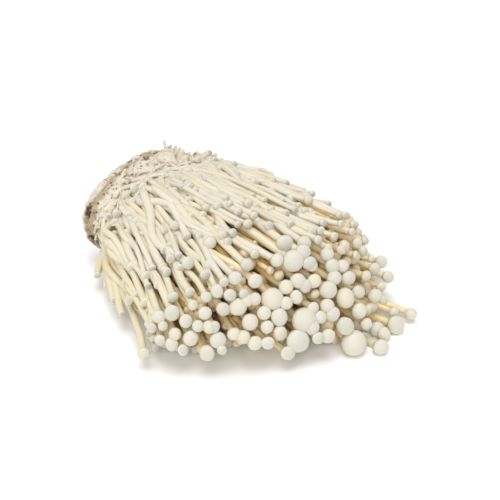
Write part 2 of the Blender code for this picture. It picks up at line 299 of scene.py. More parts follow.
@dataclass(frozen=True)
class StemFinish:
    """Stem flesh: cream, paler under the cap, with fine long fibres, and painted shade deep in the bunch,
    golden and then ochre, warm like light that has passed through the flesh.
    """

    root_cream: Colour = (0.67, 0.61, 0.475)
    cream: Colour = (0.735, 0.68, 0.555)
    pale: Colour = (0.765, 0.725, 0.62)
    yellow: Colour = (0.73, 0.635, 0.39)
    # Painted shade: the golden and the ochre colour stand for shade deep in the bunch, warm like light
    # that has passed through the flesh.
    golden: Colour = (0.85, 0.73, 0.44)
    deep_shade_ochre: Colour = (0.80, 0.52, 0.20)
    yellow_from: float = 0.038
    yellow_below: float = 0.020
    fibres_round: float = 9.0
    fibres_along: float = 90.0
    fibres_shift: float = 37.0
    blotches: float = 160.0
    relief: float = 0.00025

    def material(self) -> bpy.types.Material:
        """Build the stem material.

        Returns:
            The material.
        """
        skin = Skin("stem_flesh", SOFT_FLESH)
        share, inner, tint = (skin.attribute(name) for name in ("share", "inner", "tint"))
        around, run = skin.attribute("around"), skin.attribute("run")
        strand = skin.node(
            "ShaderNodeCombineXYZ",
            None,
            {0: around * self.fibres_round, 1: run * self.fibres_along, 2: tint * self.fibres_shift},
        ).outputs[0]
        fibre = skin.noise(strand, 1.0, 4.0, 0.6)
        here = skin.here()
        blotch = skin.noise(here, self.blotches, 2.0)
        lower = skin.part_of(here, "Z").rise(self.yellow_from, self.yellow_below)
        colour = skin.mix(share.rise(0.05, 0.5), self.root_cream, self.cream)
        colour = skin.mix(share.rise(0.55, 1.0) * (0.4 + 0.6 * tint), colour, self.pale)
        dull = (fibre.rise(0.35, 0.7) + blotch.rise(0.45, 0.75)) * 0.16
        colour = skin.mix(dull, colour, self.root_cream)
        colour = skin.mix((tint.rise(0.55, 1.0) * 0.3).most(lower * 0.55), colour, self.yellow)
        # Painted shade: the deeper a point lies in the bunch, the more golden and then ochre it turns.
        colour = skin.mix(inner.rise(0.0, 0.6) * 0.85, colour, self.golden)
        colour = skin.mix(inner.rise(0.5, 1.0) * 0.85, colour, self.deep_shade_ochre)
        return skin.finish(colour, 0.36 + 0.22 * fibre, fibre, self.relief)


@dataclass(frozen=True)
class CapFinish:
    """Cap skin: matt off-white with random warmer tones, and painted shade: darker and cooler at the
    crown, darker and yellower towards the rim and underside, ochre on caps deep inside.
    """

    white: Colour = (0.725, 0.690, 0.595)
    warm: Colour = (0.72, 0.655, 0.49)
    # Painted shade: darker and cooler in the middle of each cap's crown.
    crown: Colour = (0.52, 0.50, 0.43)
    # Painted shade: darker and yellower towards the rim and on the underside.
    under: Colour = (0.66, 0.56, 0.36)
    # Painted shade: greyer at the crown of the small caps.
    small_crown_shade: Colour = (0.38, 0.37, 0.32)
    # Painted shade for caps deep in the bunch.
    deep_shade_ochre: Colour = (0.77, 0.58, 0.29)
    mottles: float = 420.0
    relief: float = 0.00012

    def material(self) -> bpy.types.Material:
        """Build the cap material.

        Returns:
            The material.
        """
        skin = Skin("cap_skin", SOFT_FLESH)
        crown, inner, tint, young = (skin.attribute(name) for name in ("crown", "inner", "tint", "young"))
        mottle = skin.noise(skin.here(), self.mottles)
        colour = skin.mix(tint.rise(0.4, 0.0) * 0.6, self.white, self.warm)
        # Painted shade: the lower side of each cap and its underside turn to the under colour.
        colour = skin.mix(crown.rise(0.42, -0.40) * (1 - 0.6 * young), colour, self.under)
        # Painted shade at the crown, with a little random mottle in it; the small caps get their own,
        # greyer one below.
        crown_shade_and_mottle = crown.rise(0.35, 0.98) * (0.15 + 0.5 * tint) + (mottle - 0.5) * 0.15
        colour = skin.mix(crown_shade_and_mottle * (1 - young), colour, self.crown)
        small_crown_shade_share = crown.rise(0.45, 1.0) * young * (0.5 + 0.5 * tint)
        colour = skin.mix(small_crown_shade_share, colour, self.small_crown_shade)
        # Painted shade: caps deeper in the bunch turn ochre.
        colour = skin.mix(inner * 0.75, colour, self.deep_shade_ochre)
        return skin.finish(colour, 0.42 + 0.2 * mottle, mottle, self.relief)


@dataclass(frozen=True)
class RootFinish:
    """The fused root: matted cream mycelium, browner and specked towards the root end."""

    cream: Colour = (0.69, 0.62, 0.48)
    pale: Colour = (0.76, 0.71, 0.60)
    tan: Colour = (0.37, 0.28, 0.17)
    speck: Colour = (0.15, 0.10, 0.055)
    brown_zone: float = 0.0045
    speck_zone: float = 0.024
    patches: float = 130.0
    grains: float = 900.0
    specks: float = 420.0
    speck_groups: float = 240.0
    relief: float = 0.0005

    def material(self) -> bpy.types.Material:
        """Build the root material.

        Returns:
            The material.
        """
        skin = Skin("root_flesh", SOFT_FLESH | {"Subsurface Weight": 0.25})
        here = skin.here()
        from_end = skin.part_of(here, "X") - BLOCK_X
        wander = skin.noise(here, self.patches, 4.0)
        fine = skin.noise(here, self.grains, 4.0, 0.65)
        pits = skin.attribute("pit")
        colour = skin.mix(wander.rise(0.4, 0.65), self.cream, self.pale)
        colour = skin.mix(fine.rise(0.5, 0.75) * 0.3, colour, self.tan)
        lower = skin.part_of(here, "Z").rise(0.034, 0.020)
        edge = (from_end + (wander - 0.5) * 0.014 - lower * 0.005).rise(self.brown_zone, 0.0)
        colour = skin.mix(edge * 0.8, colour, self.tan)
        groups = skin.noise(here, self.speck_groups, 2.0).rise(0.40, 0.50)
        specks = skin.cells(here, self.specks).rise(0.36, 0.24) * groups
        zone = (from_end + (wander - 0.5) * 0.02).rise(self.speck_zone, self.speck_zone * 0.35)
        colour = skin.mix((specks * zone).most(pits.rise(0.35, 0.9)) * 0.85, colour, self.speck)
        return skin.finish(colour, 0.6 + 0.25 * fine, fine, self.relief)


@dataclass(frozen=True)
class MediumFinish:
    """Growing medium: brown crumbs and husks matted with pale threads."""

    brown: Colour = (0.30, 0.22, 0.135)
    tan: Colour = (0.48, 0.39, 0.27)
    dark: Colour = (0.09, 0.06, 0.035)
    thread: Colour = (0.72, 0.66, 0.54)
    grains: float = 700.0
    patches: float = 190.0
    relief: float = 0.0006

    def material(self) -> bpy.types.Material:
        """Build the material of the growing medium.

        Returns:
            The material.
        """
        skin = Skin("growing_medium_crumb", {"Specular IOR Level": 0.2})
        here = skin.here()
        crumb, veil = skin.attribute("pit"), skin.attribute("veil")
        grain = skin.noise(here, self.grains, 5.0, 0.7)
        patch = skin.noise(here, self.patches)
        colour = skin.mix(grain.rise(0.38, 0.62), self.brown, self.tan)
        colour = skin.mix(crumb.rise(0.2, 0.8), colour, self.dark)
        matted = (veil + (patch - 0.5) * 2.2 + (grain - 0.5) * 2.4).rise(0.20, 0.50)
        colour = skin.mix(matted * (1 - 0.7 * crumb), colour, self.thread)
        return skin.finish(colour, 0.85 + 0.1 * grain, grain, self.relief)


@dataclass(frozen=True)
class BunchForm:
    """The outer form that the mushrooms fill, from the root end to the furthest caps."""

    length: float = 0.147
    root_half_width: float = 0.038
    near_flare: float = 0.0055
    near_flare_length: float = 0.15
    root_height: float = 0.051
    root_end_drop: float = 0.003
    root_drop_length: float = 0.22
    cap_end_height: float = 0.046
    root_middle: float = 0.026
    cap_end_middle: float = 0.013
    middle_settles_by: float = 0.77
    fan_angle: float = math.radians(23.0)
    fan_at_root: float = 0.35
    near_shortening: float = 0.31
    far_shortening: float = 0.46
    shortening_power: float = 1.5
    top_shortening: float = 0.15
    upper_roundness: float = 1.85
    far_upper_roundness: float = 1.5
    lower_roundness: float = 3.2
    side_thickness: float = 0.6

    def place(self, turn: float, depth: float) -> tuple[float, float]:
        """Side and rise in the section.

        Args:
            turn: Angle round the section, 0 at +Y and a quarter turn at the top.
            depth: 0 in the middle, 1 on the surface.

        Returns:
            Side and rise, each from -1 to 1.
        """
        across, upwards = math.cos(turn), math.sin(turn)
        power = 2 / self.roundness(across, upwards)
        side = depth * math.copysign(abs(across) ** power, across)
        rise = depth * math.copysign(abs(upwards) ** power, upwards)
        return side, rise

    def roundness(self, side: float, rise: float) -> float:
        """The section's roundness in the quarter that a place lies in.

        Args:
            side: Place across the section.
            rise: Height in the section.

        Returns:
            The power of the quarter's outline.
        """
        if rise <= 0:
            return self.lower_roundness
        return self.far_upper_roundness if side > 0 else self.upper_roundness

    def depth(self, side: float, rise: float) -> float:
        """How near the surface a place in the section is, 1 being on it."""
        power = self.roundness(side, rise)
        return (abs(side) ** power + abs(rise) ** power) ** (1 / power)

    def ring(
        self, around: int, depth: float, along: float, x: float | None, lowest: float
    ) -> list[Vector]:
        """Points round the section.

        Args:
            around: How many there are.
            depth: How near the surface they lie, 1 being on it.
            along: 0 at the root end, 1 at the furthest caps.
            x: Where they are all drawn to, or None to leave them on the form.
            lowest: Height below which no point lies.

        Returns:
            The points.
        """
        points = []
        for i in range(around):
            point = self.point(*self.place(2 * math.pi * i / around, depth), along)
            if x is not None:
                point.x = x
            point.z = max(point.z, lowest)
            points.append(point)
        return points

    def point(self, side: float, rise: float, along: float) -> Vector:
        """The point of a place.

        Args:
            side: -1 to 1 across the section.
            rise: -1 to 1 up the section.
            along: 0 at the root end, 1 at the furthest caps.

        Returns:
            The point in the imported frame.
        """
        height = self.root_height + (self.cap_end_height - self.root_height) * along
        height -= self.root_end_drop * max(0, 1 - along / self.root_drop_length) ** 2
        settled = min(1.0, along / self.middle_settles_by)
        middle = self.root_middle + (self.cap_end_middle - self.root_middle) * settled
        heading = self.fan_angle * side * (self.fan_at_root + (1 - self.fan_at_root) * along)
        shortening = self.far_shortening if side > 0 else self.near_shortening
        side_share = 1 - shortening * abs(side) ** self.shortening_power
        top_share = 1 - self.top_shortening * max(rise, 0)
        reach = self.length * along * side_share * top_share
        flare = self.near_flare * max(0, 1 - along / self.near_flare_length) ** 2 if side < 0 else 0
        return Vector((
            reach * math.cos(heading) + ROOT_X,
            (self.root_half_width + flare) * side + reach * math.sin(heading),
            middle + rise * (height - middle if rise > 0 else middle),
        ))

    def buried(
        self, side: float, rise: float, along: float, side_reach: float, front_reach: float
    ) -> float:
        """How deep inside the bunch a place is.

        Args:
            side: -1 to 1 across the section.
            rise: -1 to 1 up the section.
            along: 0 at the root end, 1 at the furthest caps.
            side_reach: Metres below the sides after which it counts as deep.
            front_reach: The same from the front.

        Returns:
            0 at the outside, 1 deep inside.
        """
        from_side = (1 - self.depth(side, rise)) * self.root_half_width * self.side_thickness
        from_front = (1 - along) * self.length
        share = clamp(min(from_side / side_reach, from_front / front_reach))
        return share * share * (3 - 2 * share)


class FormSurface:
    """The form as a surface that a line of sight can be followed to."""

    around: int = 48
    steps: int = 24
    inner: int = 8
    eye: float = 0.01

    def __init__(self, form: BunchForm) -> None:
        """Loft the form and close its front.

        Args:
            form: The form.
        """
        rings = [(1.0, step / self.steps) for step in range(self.steps + 1)]
        rings += [(max(1 - step / self.inner, self.eye), 1.0) for step in range(1, self.inner + 1)]
        self.places = [
            (*form.place(2 * math.pi * turn / self.around, depth), along)
            for depth, along in rings
            for turn in range(self.around)
        ]
        self.points = [form.point(*place) for place in self.places]
        self.faces = [
            (
                ring * self.around + i,
                ring * self.around + (i + 1) % self.around,
                (ring + 1) * self.around + (i + 1) % self.around,
                (ring + 1) * self.around + i,
            )
            for ring in range(len(rings) - 1)
            for i in range(self.around)
        ]
        self.tree = BVHTree.FromPolygons(self.points, self.faces)

    def place_of(self, hit: Vector, index: int) -> Place:
        """The place on the form of a point on one of its faces.

        Args:
            hit: The point.
            index: Number of the face that it lies on.

        Returns:
            Its side, its rise and how far along the form it lies.
        """
        corners = self.faces[index]
        weights = poly_3d_calc([self.points[corner] for corner in corners], hit)
        return tuple(
            sum(weight * self.places[corner][axis] for weight, corner in zip(weights, corners))
            for axis in range(3)
        )


@dataclass(frozen=True)
class PhotoView:
    """Where the photograph was taken from."""

    azimuth: float = math.radians(45.0)
    elevation: float = math.radians(31.0)
    distance: float = 0.420
    target_from_root: Vector = field(default_factory=lambda: Vector((0.0765, 0.0015, 0.020)))
    focal_pixels: float = 880.0
    picture_side: float = 500.0
    film_side: float = 36.0

    @property
    def axes(self) -> tuple[Vector, Vector, Vector]:
        """Right, up and backwards of the camera.

        Returns:
            The three directions, each one long.
        """
        level = math.cos(self.elevation)
        away = Vector((
            math.sin(self.azimuth) * level,
            -math.cos(self.azimuth) * level,
            math.sin(self.elevation),
        ))
        right = Vector((math.cos(self.azimuth), math.sin(self.azimuth), 0))
        return right, away.cross(right), away

    @property
    def eye(self) -> Vector:
        """Where the camera stands."""
        return self.target_from_root + Vector((ROOT_X, 0, 0)) + self.axes[2] * self.distance

    def sight(self, x: float, y: float) -> Vector:
        """The direction in which a pixel is seen.

        Args:
            x: Pixels from the left.
            y: Pixels from the top.

        Returns:
            The direction, one long.
        """
        right, up, away = self.axes
        centre = self.picture_side / 2
        return (right * (x - centre) - up * (y - centre) - away * self.focal_pixels).normalized()

    def pixel(self, point: Vector) -> tuple[float, float, float]:
        """Where a point is seen.

        Args:
            point: The point.

        Returns:
            Its pixel's x and y, and its distance from the eye along the view.
        """
        right, up, away = self.axes
        offset = point - self.eye
        far = -offset.dot(away)
        centre = self.picture_side / 2
        scale = self.focal_pixels / far
        return centre + scale * offset.dot(right), centre - scale * offset.dot(up), far

    def place_camera(self) -> None:
        """Make the scene's camera."""
        camera = bpy.data.cameras.new("camera")
        camera.sensor_width = self.film_side
        camera.lens = self.focal_pixels * self.film_side / self.picture_side
        camera.clip_start, camera.clip_end = 0.01, 20.0
        holder = bpy.data.objects.new("camera", camera)
        bpy.context.scene.collection.objects.link(holder)
        turn = Matrix(self.axes).transposed().to_4x4()
        holder.matrix_world = Matrix.Translation(self.eye) @ turn
        bpy.context.scene.camera = holder


class CapShape(Enum):
    """Outlines of a cap as crown height, underside depth and how far the underside draws in."""

    BUTTON = (0.82, 0.56, 0.30)
    DOME = (0.68, 0.40, 0.18)
    EGG = (1.08, 0.66, 0.40)
    BLUNT = (0.72, 0.62, 0.26)

    def outline(self, steps: int) -> list[tuple[float, float]]:
        """Points of half the outline, from the middle of the underside to the crown.

        Args:
            steps: Points on the crown's arc, and one less on the margin.

        Returns:
            Radius and height of each point, for a cap of radius 1.
        """
        crown, under, draw = self.value
        lip = [(0.42, -under + 0.07)]
        for i in range(steps - 2):
            angle = math.radians(-74 + 74 * i / (steps - 2))
            lip.append((1 - draw * (1 - math.cos(angle)), under * math.sin(angle)))
        arc = [math.radians(90 * i / steps) for i in range(steps + 1)]
        return lip + [(max(math.cos(a), 0) ** 0.92, crown * math.sin(a)) for a in arc]

    def mesh(self, sides: int, steps: int) -> bpy.types.Mesh:
        """The turned cap, closed, with its height kept at each point as crown.

        Args:
            sides: Faces round the cap.
            steps: Faces up the crown.

        Returns:
            The mesh, of radius 1, with its crown towards +Z.
        """
        shape = bmesh.new()
        crown = shape.verts.layers.float.new("crown")
        outline = self.outline(steps)[:-1]
        rings = []
        for radius, height in outline:
            ring = []
            for i in range(sides):
                angle = 2 * math.pi * i / sides
                vert = shape.verts.new((radius * math.cos(angle), radius * math.sin(angle), height))
                vert[crown] = height / self.value[0 if height > 0 else 1]
                ring.append(vert)
            rings.append(ring)
        for ring, following in zip(rings, rings[1:]):
            for i in range(sides):
                shape.faces.new((ring[i - 1], ring[i], following[i], following[i - 1]))
        shape.faces.new(reversed(rings[0]))
        top = shape.verts.new((0, 0, self.value[0]))
        top[crown] = 1.0
        for i in range(sides):
            shape.faces.new((rings[-1][i - 1], rings[-1][i], top))
        bmesh.ops.recalc_face_normals(shape, faces=shape.faces)
        data = bpy.data.meshes.new(f"cap_{self.name.lower()}_{sides}")
        shape.to_mesh(data)
        shape.free()
        return data


@dataclass
class Mushroom:
    """One mushroom: its cap's middle and radius, its place on the form, and where its stem starts."""

    middle: Vector
    radius: float
    place: Place
    root: tuple[float, float]
    facing: float = 0.0
    plump: float = 1.0
    tint: float = 0.5
    shape: CapShape = CapShape.BUTTON
    line: np.ndarray | None = None
    points_used: int = 0
    heading: Vector = field(default_factory=lambda: Vector((1, 0, 0)))


@dataclass(frozen=True)
class Thicket:
    """A rule for mushrooms that the photograph doesn't single out.

    Turns are degrees round the section, depths and alongs are shares of the form, and radii
    are those of the caps. Drift is how far a stem wanders across the section.
    """

    count: int
    turns: Range
    depths: Range
    alongs: Range
    radii: Range
    drift: float


MAIN_FRONT_CAPS = (
    (272, 299, 22), (298, 341, 22), (304, 320, 24), (354, 343, 24), (293, 261, 21),
    (345, 298, 19), (345, 326, 17), (328, 290, 17), (285, 244, 17), (279, 317, 17),
    (250, 322, 16), (298, 281, 15), (334, 278, 14), (348, 278, 14),
    (332, 266, 14), (327, 254, 13), (277, 260, 13), (286, 287, 14),
    (296, 297, 13), (327, 306, 14), (359, 311, 15), (328, 336, 14), (381, 347, 14),
    (396, 325, 16), (411, 314, 11), (394, 312, 10), (383, 301, 10), (381, 262, 12),
    (388, 277, 11), (366, 276, 10), (381, 287, 10), (357, 243, 10), (341, 250, 9),
    (288, 353, 14), (255, 343, 14), (255, 299, 12),
)
MAIN_LEFT_CAPS = (
    (238, 307, 17), (230, 295, 12), (217, 291, 13), (223, 309, 13), (235, 278, 13),
    (255, 281, 14), (247, 265, 12), (205, 313, 13), (191, 338, 15), (218, 340, 16),
    (207, 353, 15), (186, 321, 13), (159, 317, 13), (172, 313, 15), (175, 334, 12),
    (172, 344, 13), (144, 353, 11), (193, 305, 10), (145, 302, 9), (137, 279, 8),
    (163, 267, 9), (97, 275, 6), (107, 286, 6), (114, 300, 7), (122, 314, 7),
)
MAIN_TOP_CAPS = (
    (210, 265, 11), (188, 263, 12), (210, 243, 12), (238, 212, 9), (269, 226, 9),
    (312, 232, 9), (257, 206, 7), (286, 213, 7), (315, 215, 6), (159, 237, 8),
    (187, 236, 8), (345, 215, 6), (303, 191, 5), (258, 171, 5),
)
FINE_FRONT_CAPS = (
    (286, 303, 12), (264, 313, 13), (267, 327, 12), (312, 327, 14), (314, 281, 13),
    (305, 286, 12), (311, 265, 12), (303, 252, 14), (304, 243, 13), (328, 248, 8),
    (343, 267, 9), (358, 292, 12), (332, 314, 14), (313, 308, 11), (384, 334, 12),
    (375, 296, 13), (374, 269, 11), (365, 241, 7), (352, 232, 7), (320, 317, 12),
    (366, 324, 11), (377, 329, 13), (318, 338, 11), (247, 300, 12), (309, 263, 13),
    (342, 266, 12), (268, 343, 12), (243, 337, 13),
)
FINE_LEFT_CAPS = (
    (244, 294, 9), (224, 282, 9), (163, 326, 9), (209, 327, 12), (222, 350, 9),
    (234, 334, 12), (205, 275, 9), (167, 272, 8), (180, 268, 8), (200, 237, 8),
    (145, 257, 7), (206, 297, 10), (173, 297, 10), (255, 254, 9), (190, 292, 9), (158, 285, 8),
    (214, 327, 11), (198, 326, 11), (183, 350, 10), (160, 340, 10), (152, 328, 9),
)
FINE_TOP_CAPS = (
    (291, 224, 6), (321, 231, 8), (318, 240, 8), (328, 204, 5), (339, 215, 5),
    (286, 183, 5), (234, 164, 5), (209, 153, 5), (198, 169, 6), (228, 174, 5),
    (217, 179, 5), (238, 183, 6), (253, 184, 6), (207, 187, 5), (196, 192, 6),
    (216, 196, 6), (264, 201, 6), (191, 216, 7), (209, 226, 9), (242, 198, 6),
    (271, 209, 7), (254, 216, 8), (334, 236, 6), (341, 224, 6), (323, 223, 7),
    (305, 211, 7), (198, 187, 6),
)
SEEN_PINS = (
    (166, 157, 164, 140), (169, 157, 171, 144), (173, 158, 176, 145), (179, 160, 184, 149),
    (196, 160, 209, 154), (163, 158, 167, 146), (176, 160, 180, 147), (167, 160, 168, 145),
    (171, 161, 174, 147), (160, 160, 161, 149), (184, 161, 190, 153), (181, 159, 179, 148),
    (166, 162, 165, 149), (170, 163, 178, 150), (175, 164, 172, 150), (163, 162, 170, 149),
)
UPPER_EDGE = (
    (85, 196), (105, 170), (125, 154), (155, 149), (195, 153), (225, 159), (255, 165),
    (285, 178), (315, 191), (325, 200), (355, 214), (365, 236), (375, 252), (385, 256),
    (395, 274), (405, 304), (420, 308), (440, 340),
)
LOWER_EDGE = (
    (60, 230), (85, 232), (100, 284), (125, 316), (145, 352), (185, 352), (215, 356), (245, 346),
    (285, 352), (320, 342), (350, 350), (385, 350), (412, 318), (440, 300),
)
THICKETS = (
    Thicket(76, (8, 172), (0.74, 0.88), (0.78, 0.96), (0.0018, 0.0029), 0.14),
    Thicket(96, (14, 172), (1.02, 1.08), (0.24, 0.82), (0.0015, 0.0024), 0.42),
    Thicket(60, (165, 240), (0.84, 0.97), (0.55, 0.92), (0.0018, 0.0030), 0.10),
    Thicket(60, (-70, 14), (0.84, 0.99), (0.50, 0.98), (0.0018, 0.0034), 0.10),
    Thicket(50, (225, 315), (0.86, 0.96), (0.50, 0.86), (0.0018, 0.0030), 0.06),
    Thicket(190, (0, 360), (0.05, 0.88), (0.82, 0.99), (0.0019, 0.0036), 0.08),
)


@dataclass
class Planting:
    """Plans where every mushroom stands and settles their stems clear of each other."""

    form: BunchForm
    view: PhotoView
    cap_sink: float = 0.8
    upper_cap_rise: float = 1.1
    facing_wide: float = 0.65
    facing_small: float = 0.50
    facing_wide_from: float = 0.7
    hidden_caps: int = 42
    under_turns: Range = (-175, -5)
    under_alongs: Range = (0.60, 0.86)
    under_depth: float = 0.93
    far_turns: Range = (-20, 76)
    far_alongs: Range = (0.42, 1.0)
    far_depth: float = 0.97
    front_alongs: Range = (0.93, 0.99)
    hidden_radii: Range = (0.0022, 0.0040)
    least_cap_radius: float = 0.0016
    root_radius: float = 0.00185
    neck_radius: float = 0.0010
    neck_per_cap: float = 0.11
    shown_neck_radius: float = 0.00108
    shown_neck_per_cap: float = 0.13
    widest_neck: float = 0.86
    stem_to_neck: float = 1.35
    root_sink: float = 0.16
    waist: float = 0.27
    stem_root_x: float = 0.0084
    stem_wave: float = 0.0011
    gap: float = 0.0003
    highest: float = 0.0515
    upper_caps_end: float = 0.86
    bend: Range = (0.0022, 0.0088)
    root_drift: float = 0.20
    main_root_drift: float = 0.0045
    plump_above: Range = (0.95, 1.50)
    plump_front: Range = (1.0, 1.25)
    cap_lift: float = 0.0012
    wide_cap: float = 11
    cap_lean: float = 0.14
    cap_rise: float = 0.12
    shape_odds: tuple[int, ...] = (5, 3, 3, 1)
    pins: int = 250
    pin_turns: Range = (-32, 212)
    pin_start: float = 0.085
    pin_zone: float = 0.18
    pin_spread: float = math.radians(34)
    pin_radii: Range = (0.0005, 0.0011)
    short_pins: Range = (0.003, 0.009)
    short_pins_end: float = 0.13
    long_pins: Range = (0.006, 0.021)
    pin_sway: float = 0.0022
    pin_rises: Range = (0.98, 1.06)
    pin_points: int = 6
    pin_root_depth: float = 0.93
    pin_across: float = 0.036
    seen_pin_radius: float = 0.0007
    seen_pin_sink: float = 0.003
    near: float = 0.009
    push_share: float = 0.35
    home_share: float = 0.04
    cap_spacing: float = 0.9
    edge_margin: float = 1.0
    slimness: float = 0.90
    root_depths: tuple[float, ...] = (0.60, 0.80, 0.93)
    main_cap_growth: float = 1.09
    fine_cap_growth: float = 1.16
    stations: tuple[float, ...] = tuple(np.linspace(0.062, 0.98, 10))

    def __post_init__(self) -> None:
        """Loft the form that lines of sight meet."""
        self.surface = FormSurface(self.form)

    def seen(self, x: float, y: float, width: float) -> Mushroom:
        """A mushroom whose cap the photograph shows.

        Args:
            x: Pixel of the cap's middle.
            y: Pixel of the cap's middle.
            width: The cap's width in pixels.

        Returns:
            The mushroom.
        """
        eye, direction, tree = self.view.eye, self.view.sight(x, y), self.surface.tree
        hit, _, index, distance = tree.ray_cast(eye, direction)
        if hit is None:
            reaches = [self.view.distance * (0.7 + 0.6 * i / 60) for i in range(61)]
            distance = min(reaches, key=lambda reach: tree.find_nearest(eye + direction * reach)[3])
            hit, _, index, _ = tree.find_nearest(eye + direction * distance)
        radius = max(0.5 * width * distance / self.view.focal_pixels, self.least_cap_radius)
        middle = eye + direction * (distance + self.cap_sink * radius)
        if middle.z < radius + FLOOR_CLEARANCE:
            middle = eye + direction * ((radius + FLOOR_CLEARANCE - eye.z) / direction.z)
        place = self.surface.place_of(hit, index)
        if place[2] < self.upper_caps_end:
            middle -= direction * (self.upper_cap_rise * radius + self.cap_lift)
            middle.z = min(middle.z, self.highest - radius)
        wide = width >= self.wide_cap and place[2] > self.facing_wide_from
        facing = self.facing_wide if wide else self.facing_small
        return Mushroom(middle, radius, place, place[:2], facing)

    def hidden(self, number: int, draw: random.Random) -> Mushroom:
        """A mushroom on the far side, underneath or deep in the front.

        Args:
            number: Its place in the sequence.
            draw: Random numbers.

        Returns:
            The mushroom.
        """
        golden = (number * GOLDEN) % 1
        if number % 5 == 0:
            turn, depth = within(self.under_turns, golden), self.under_depth
            along = draw.uniform(*self.under_alongs)
        elif number % 5 < 4:
            turn, depth = within(self.far_turns, golden), self.far_depth
            along = draw.uniform(*self.far_alongs)
        else:
            turn, depth = 360 * golden, 0.9 * math.sqrt((number * PLASTIC) % 1)
            along = draw.uniform(*self.front_alongs)
        turn = math.radians(turn)
        radius = draw.uniform(*self.hidden_radii)
        place = (*self.form.place(turn, depth), along)
        middle = self.form.point(*place)
        middle.z = max(middle.z, radius + FLOOR_CLEARANCE)
        return Mushroom(middle, radius, place, place[:2])

    def main_mushrooms(self) -> list[Mushroom]:
        """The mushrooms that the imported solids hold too, settled as there.

        Returns:
            Those mushrooms.
        """
        draw = random.Random(SEED)
        found = [self.seen(*cap) for cap in MAIN_FRONT_CAPS + MAIN_LEFT_CAPS + MAIN_TOP_CAPS]
        number = 0
        wanted = len(found) + self.hidden_caps
        while len(found) < wanted:
            number += 1
            one = self.hidden(number, draw)
            clear = all(
                (one.middle - other.middle).length > one.radius + other.radius for other in found
            )
            if clear and self.inside_outline(one):
                found.append(one)
        self.trace(found, random.Random(SEED))
        self.settle(found)
        return found

    def fine_mushrooms(self, main: list[Mushroom]) -> list[Mushroom]:
        """The rest of the mushrooms, settled among the main ones.

        Args:
            main: The main mushrooms, whose stems bend a little and give way.

        Returns:
            The other mushrooms.
        """
        draw = random.Random(SEED + 1)
        found = [self.seen(*cap) for cap in FINE_FRONT_CAPS + FINE_LEFT_CAPS + FINE_TOP_CAPS]
        for one in main:
            one.radius *= self.main_cap_growth
        for one in found:
            one.radius *= self.fine_cap_growth
            drift = self.root_drift * draw.uniform(-1, 1)
            one.root = self.kept_inside(one.place[0] + drift, one.place[1])
        for one in main + found:
            if one.facing:
                above = one.place[2] < self.upper_caps_end
                one.plump = draw.uniform(*(self.plump_above if above else self.plump_front))
        for one in main:
            share = np.linspace(0, 1, len(self.stations))
            one.line[:, 1] += self.main_root_drift * draw.uniform(-1, 1) * (1 - share) ** 1.5
        shown = main + found
        for thicket in THICKETS:
            grown, number = [], 0
            while len(grown) < thicket.count and number < 9 * thicket.count:
                number += 1
                one = self.filler(thicket, number, draw)
                if self.fits(one, shown + grown):
                    grown.append(one)
            LOG.info("thicket of %d mushrooms at turns %s", len(grown), thicket.turns)
            shown += grown
        fine = shown[len(main):]
        self.trace(fine, random.Random(SEED + 2))
        self.settle(shown)
        self.bend_stems(shown, draw)
        self.settle(shown, steps=6, smooth=0.0)
        self.sink_roots(shown)
        return fine

    def pin_mushrooms(self) -> list[Mushroom]:
        """Short thin mushrooms that stayed small, lying criss-cross on the root.

        Returns:
            Those mushrooms.
        """
        draw = random.Random(SEED + 6)
        found = [self.seen_pin(*pin) for pin in SEEN_PINS]
        for number in range(self.pins):
            turn = math.radians(within(self.pin_turns, (number * GOLDEN) % 1))
            start = self.pin_start + self.pin_zone * draw.random() ** 1.1
            length = draw.uniform(*(self.short_pins if start < self.short_pins_end else self.long_pins))
            angle = draw.gauss(0, self.pin_spread)
            radius = draw.uniform(*self.pin_radii)
            sway, phase = draw.uniform(0.0, self.pin_sway), draw.uniform(0, 2 * math.pi)
            rise = draw.uniform(*self.pin_rises)
            points = []
            for i in range(self.pin_points):
                share = i / (self.pin_points - 1)
                aside = length * math.sin(angle) * share + sway * math.sin(phase + 5 * share)
                surfaced = math.sin(0.5 * math.pi * min(1, 1.6 * share))
                place = self.form.place(
                    turn + aside / self.pin_across, within((self.pin_root_depth, rise), surfaced)
                )
                forward = length * math.cos(angle) * share / self.form.length
                point = self.form.point(*place, start + forward)
                point.z = clamp(point.z, radius + FLOOR_CLEARANCE, self.highest - radius)
                point.x = max(point.x, BLOCK_X - 0.002)
                points.append(point)
            heading = (points[-1] - points[-2]).normalized()
            one = Mushroom(points[-1] + heading * 1.2 * radius, radius, (*place, start), place)
            one.middle.z = min(one.middle.z, self.highest - radius)
            one.line, one.points_used = np.array(points), len(points)
            found.append(one)
        return found

    def seen_pin(self, foot_x: float, foot_y: float, tip_x: float, tip_y: float) -> Mushroom:
        """A pin that the photograph shows standing up from the root.

        Args:
            foot_x: Pixel of its foot.
            foot_y: Pixel of its foot.
            tip_x: Pixel of its tip.
            tip_y: Pixel of its tip.

        Returns:
            The mushroom.
        """
        eye, direction = self.view.eye, self.view.sight(foot_x, foot_y)
        foot, _, index, distance = self.surface.tree.ray_cast(eye, direction)
        tip = eye + self.view.sight(tip_x, tip_y) * distance
        radius = self.seen_pin_radius
        sunk = foot + direction * self.seen_pin_sink
        points = [sunk, foot, foot.lerp(tip, 0.4), foot.lerp(tip, 0.8)]
        place = self.surface.place_of(foot, index)
        one = Mushroom(tip - (tip - foot).normalized() * radius, radius, place, place[:2])
        one.line, one.points_used = np.array(points), len(points)
        return one

    def kept_inside(self, side: float, rise: float) -> tuple[float, float]:
        """A place in the section, drawn in where it would lie outside the form."""
        limit = max(self.form.depth(side, rise) / 0.97, 1.0)
        return side / limit, rise / limit

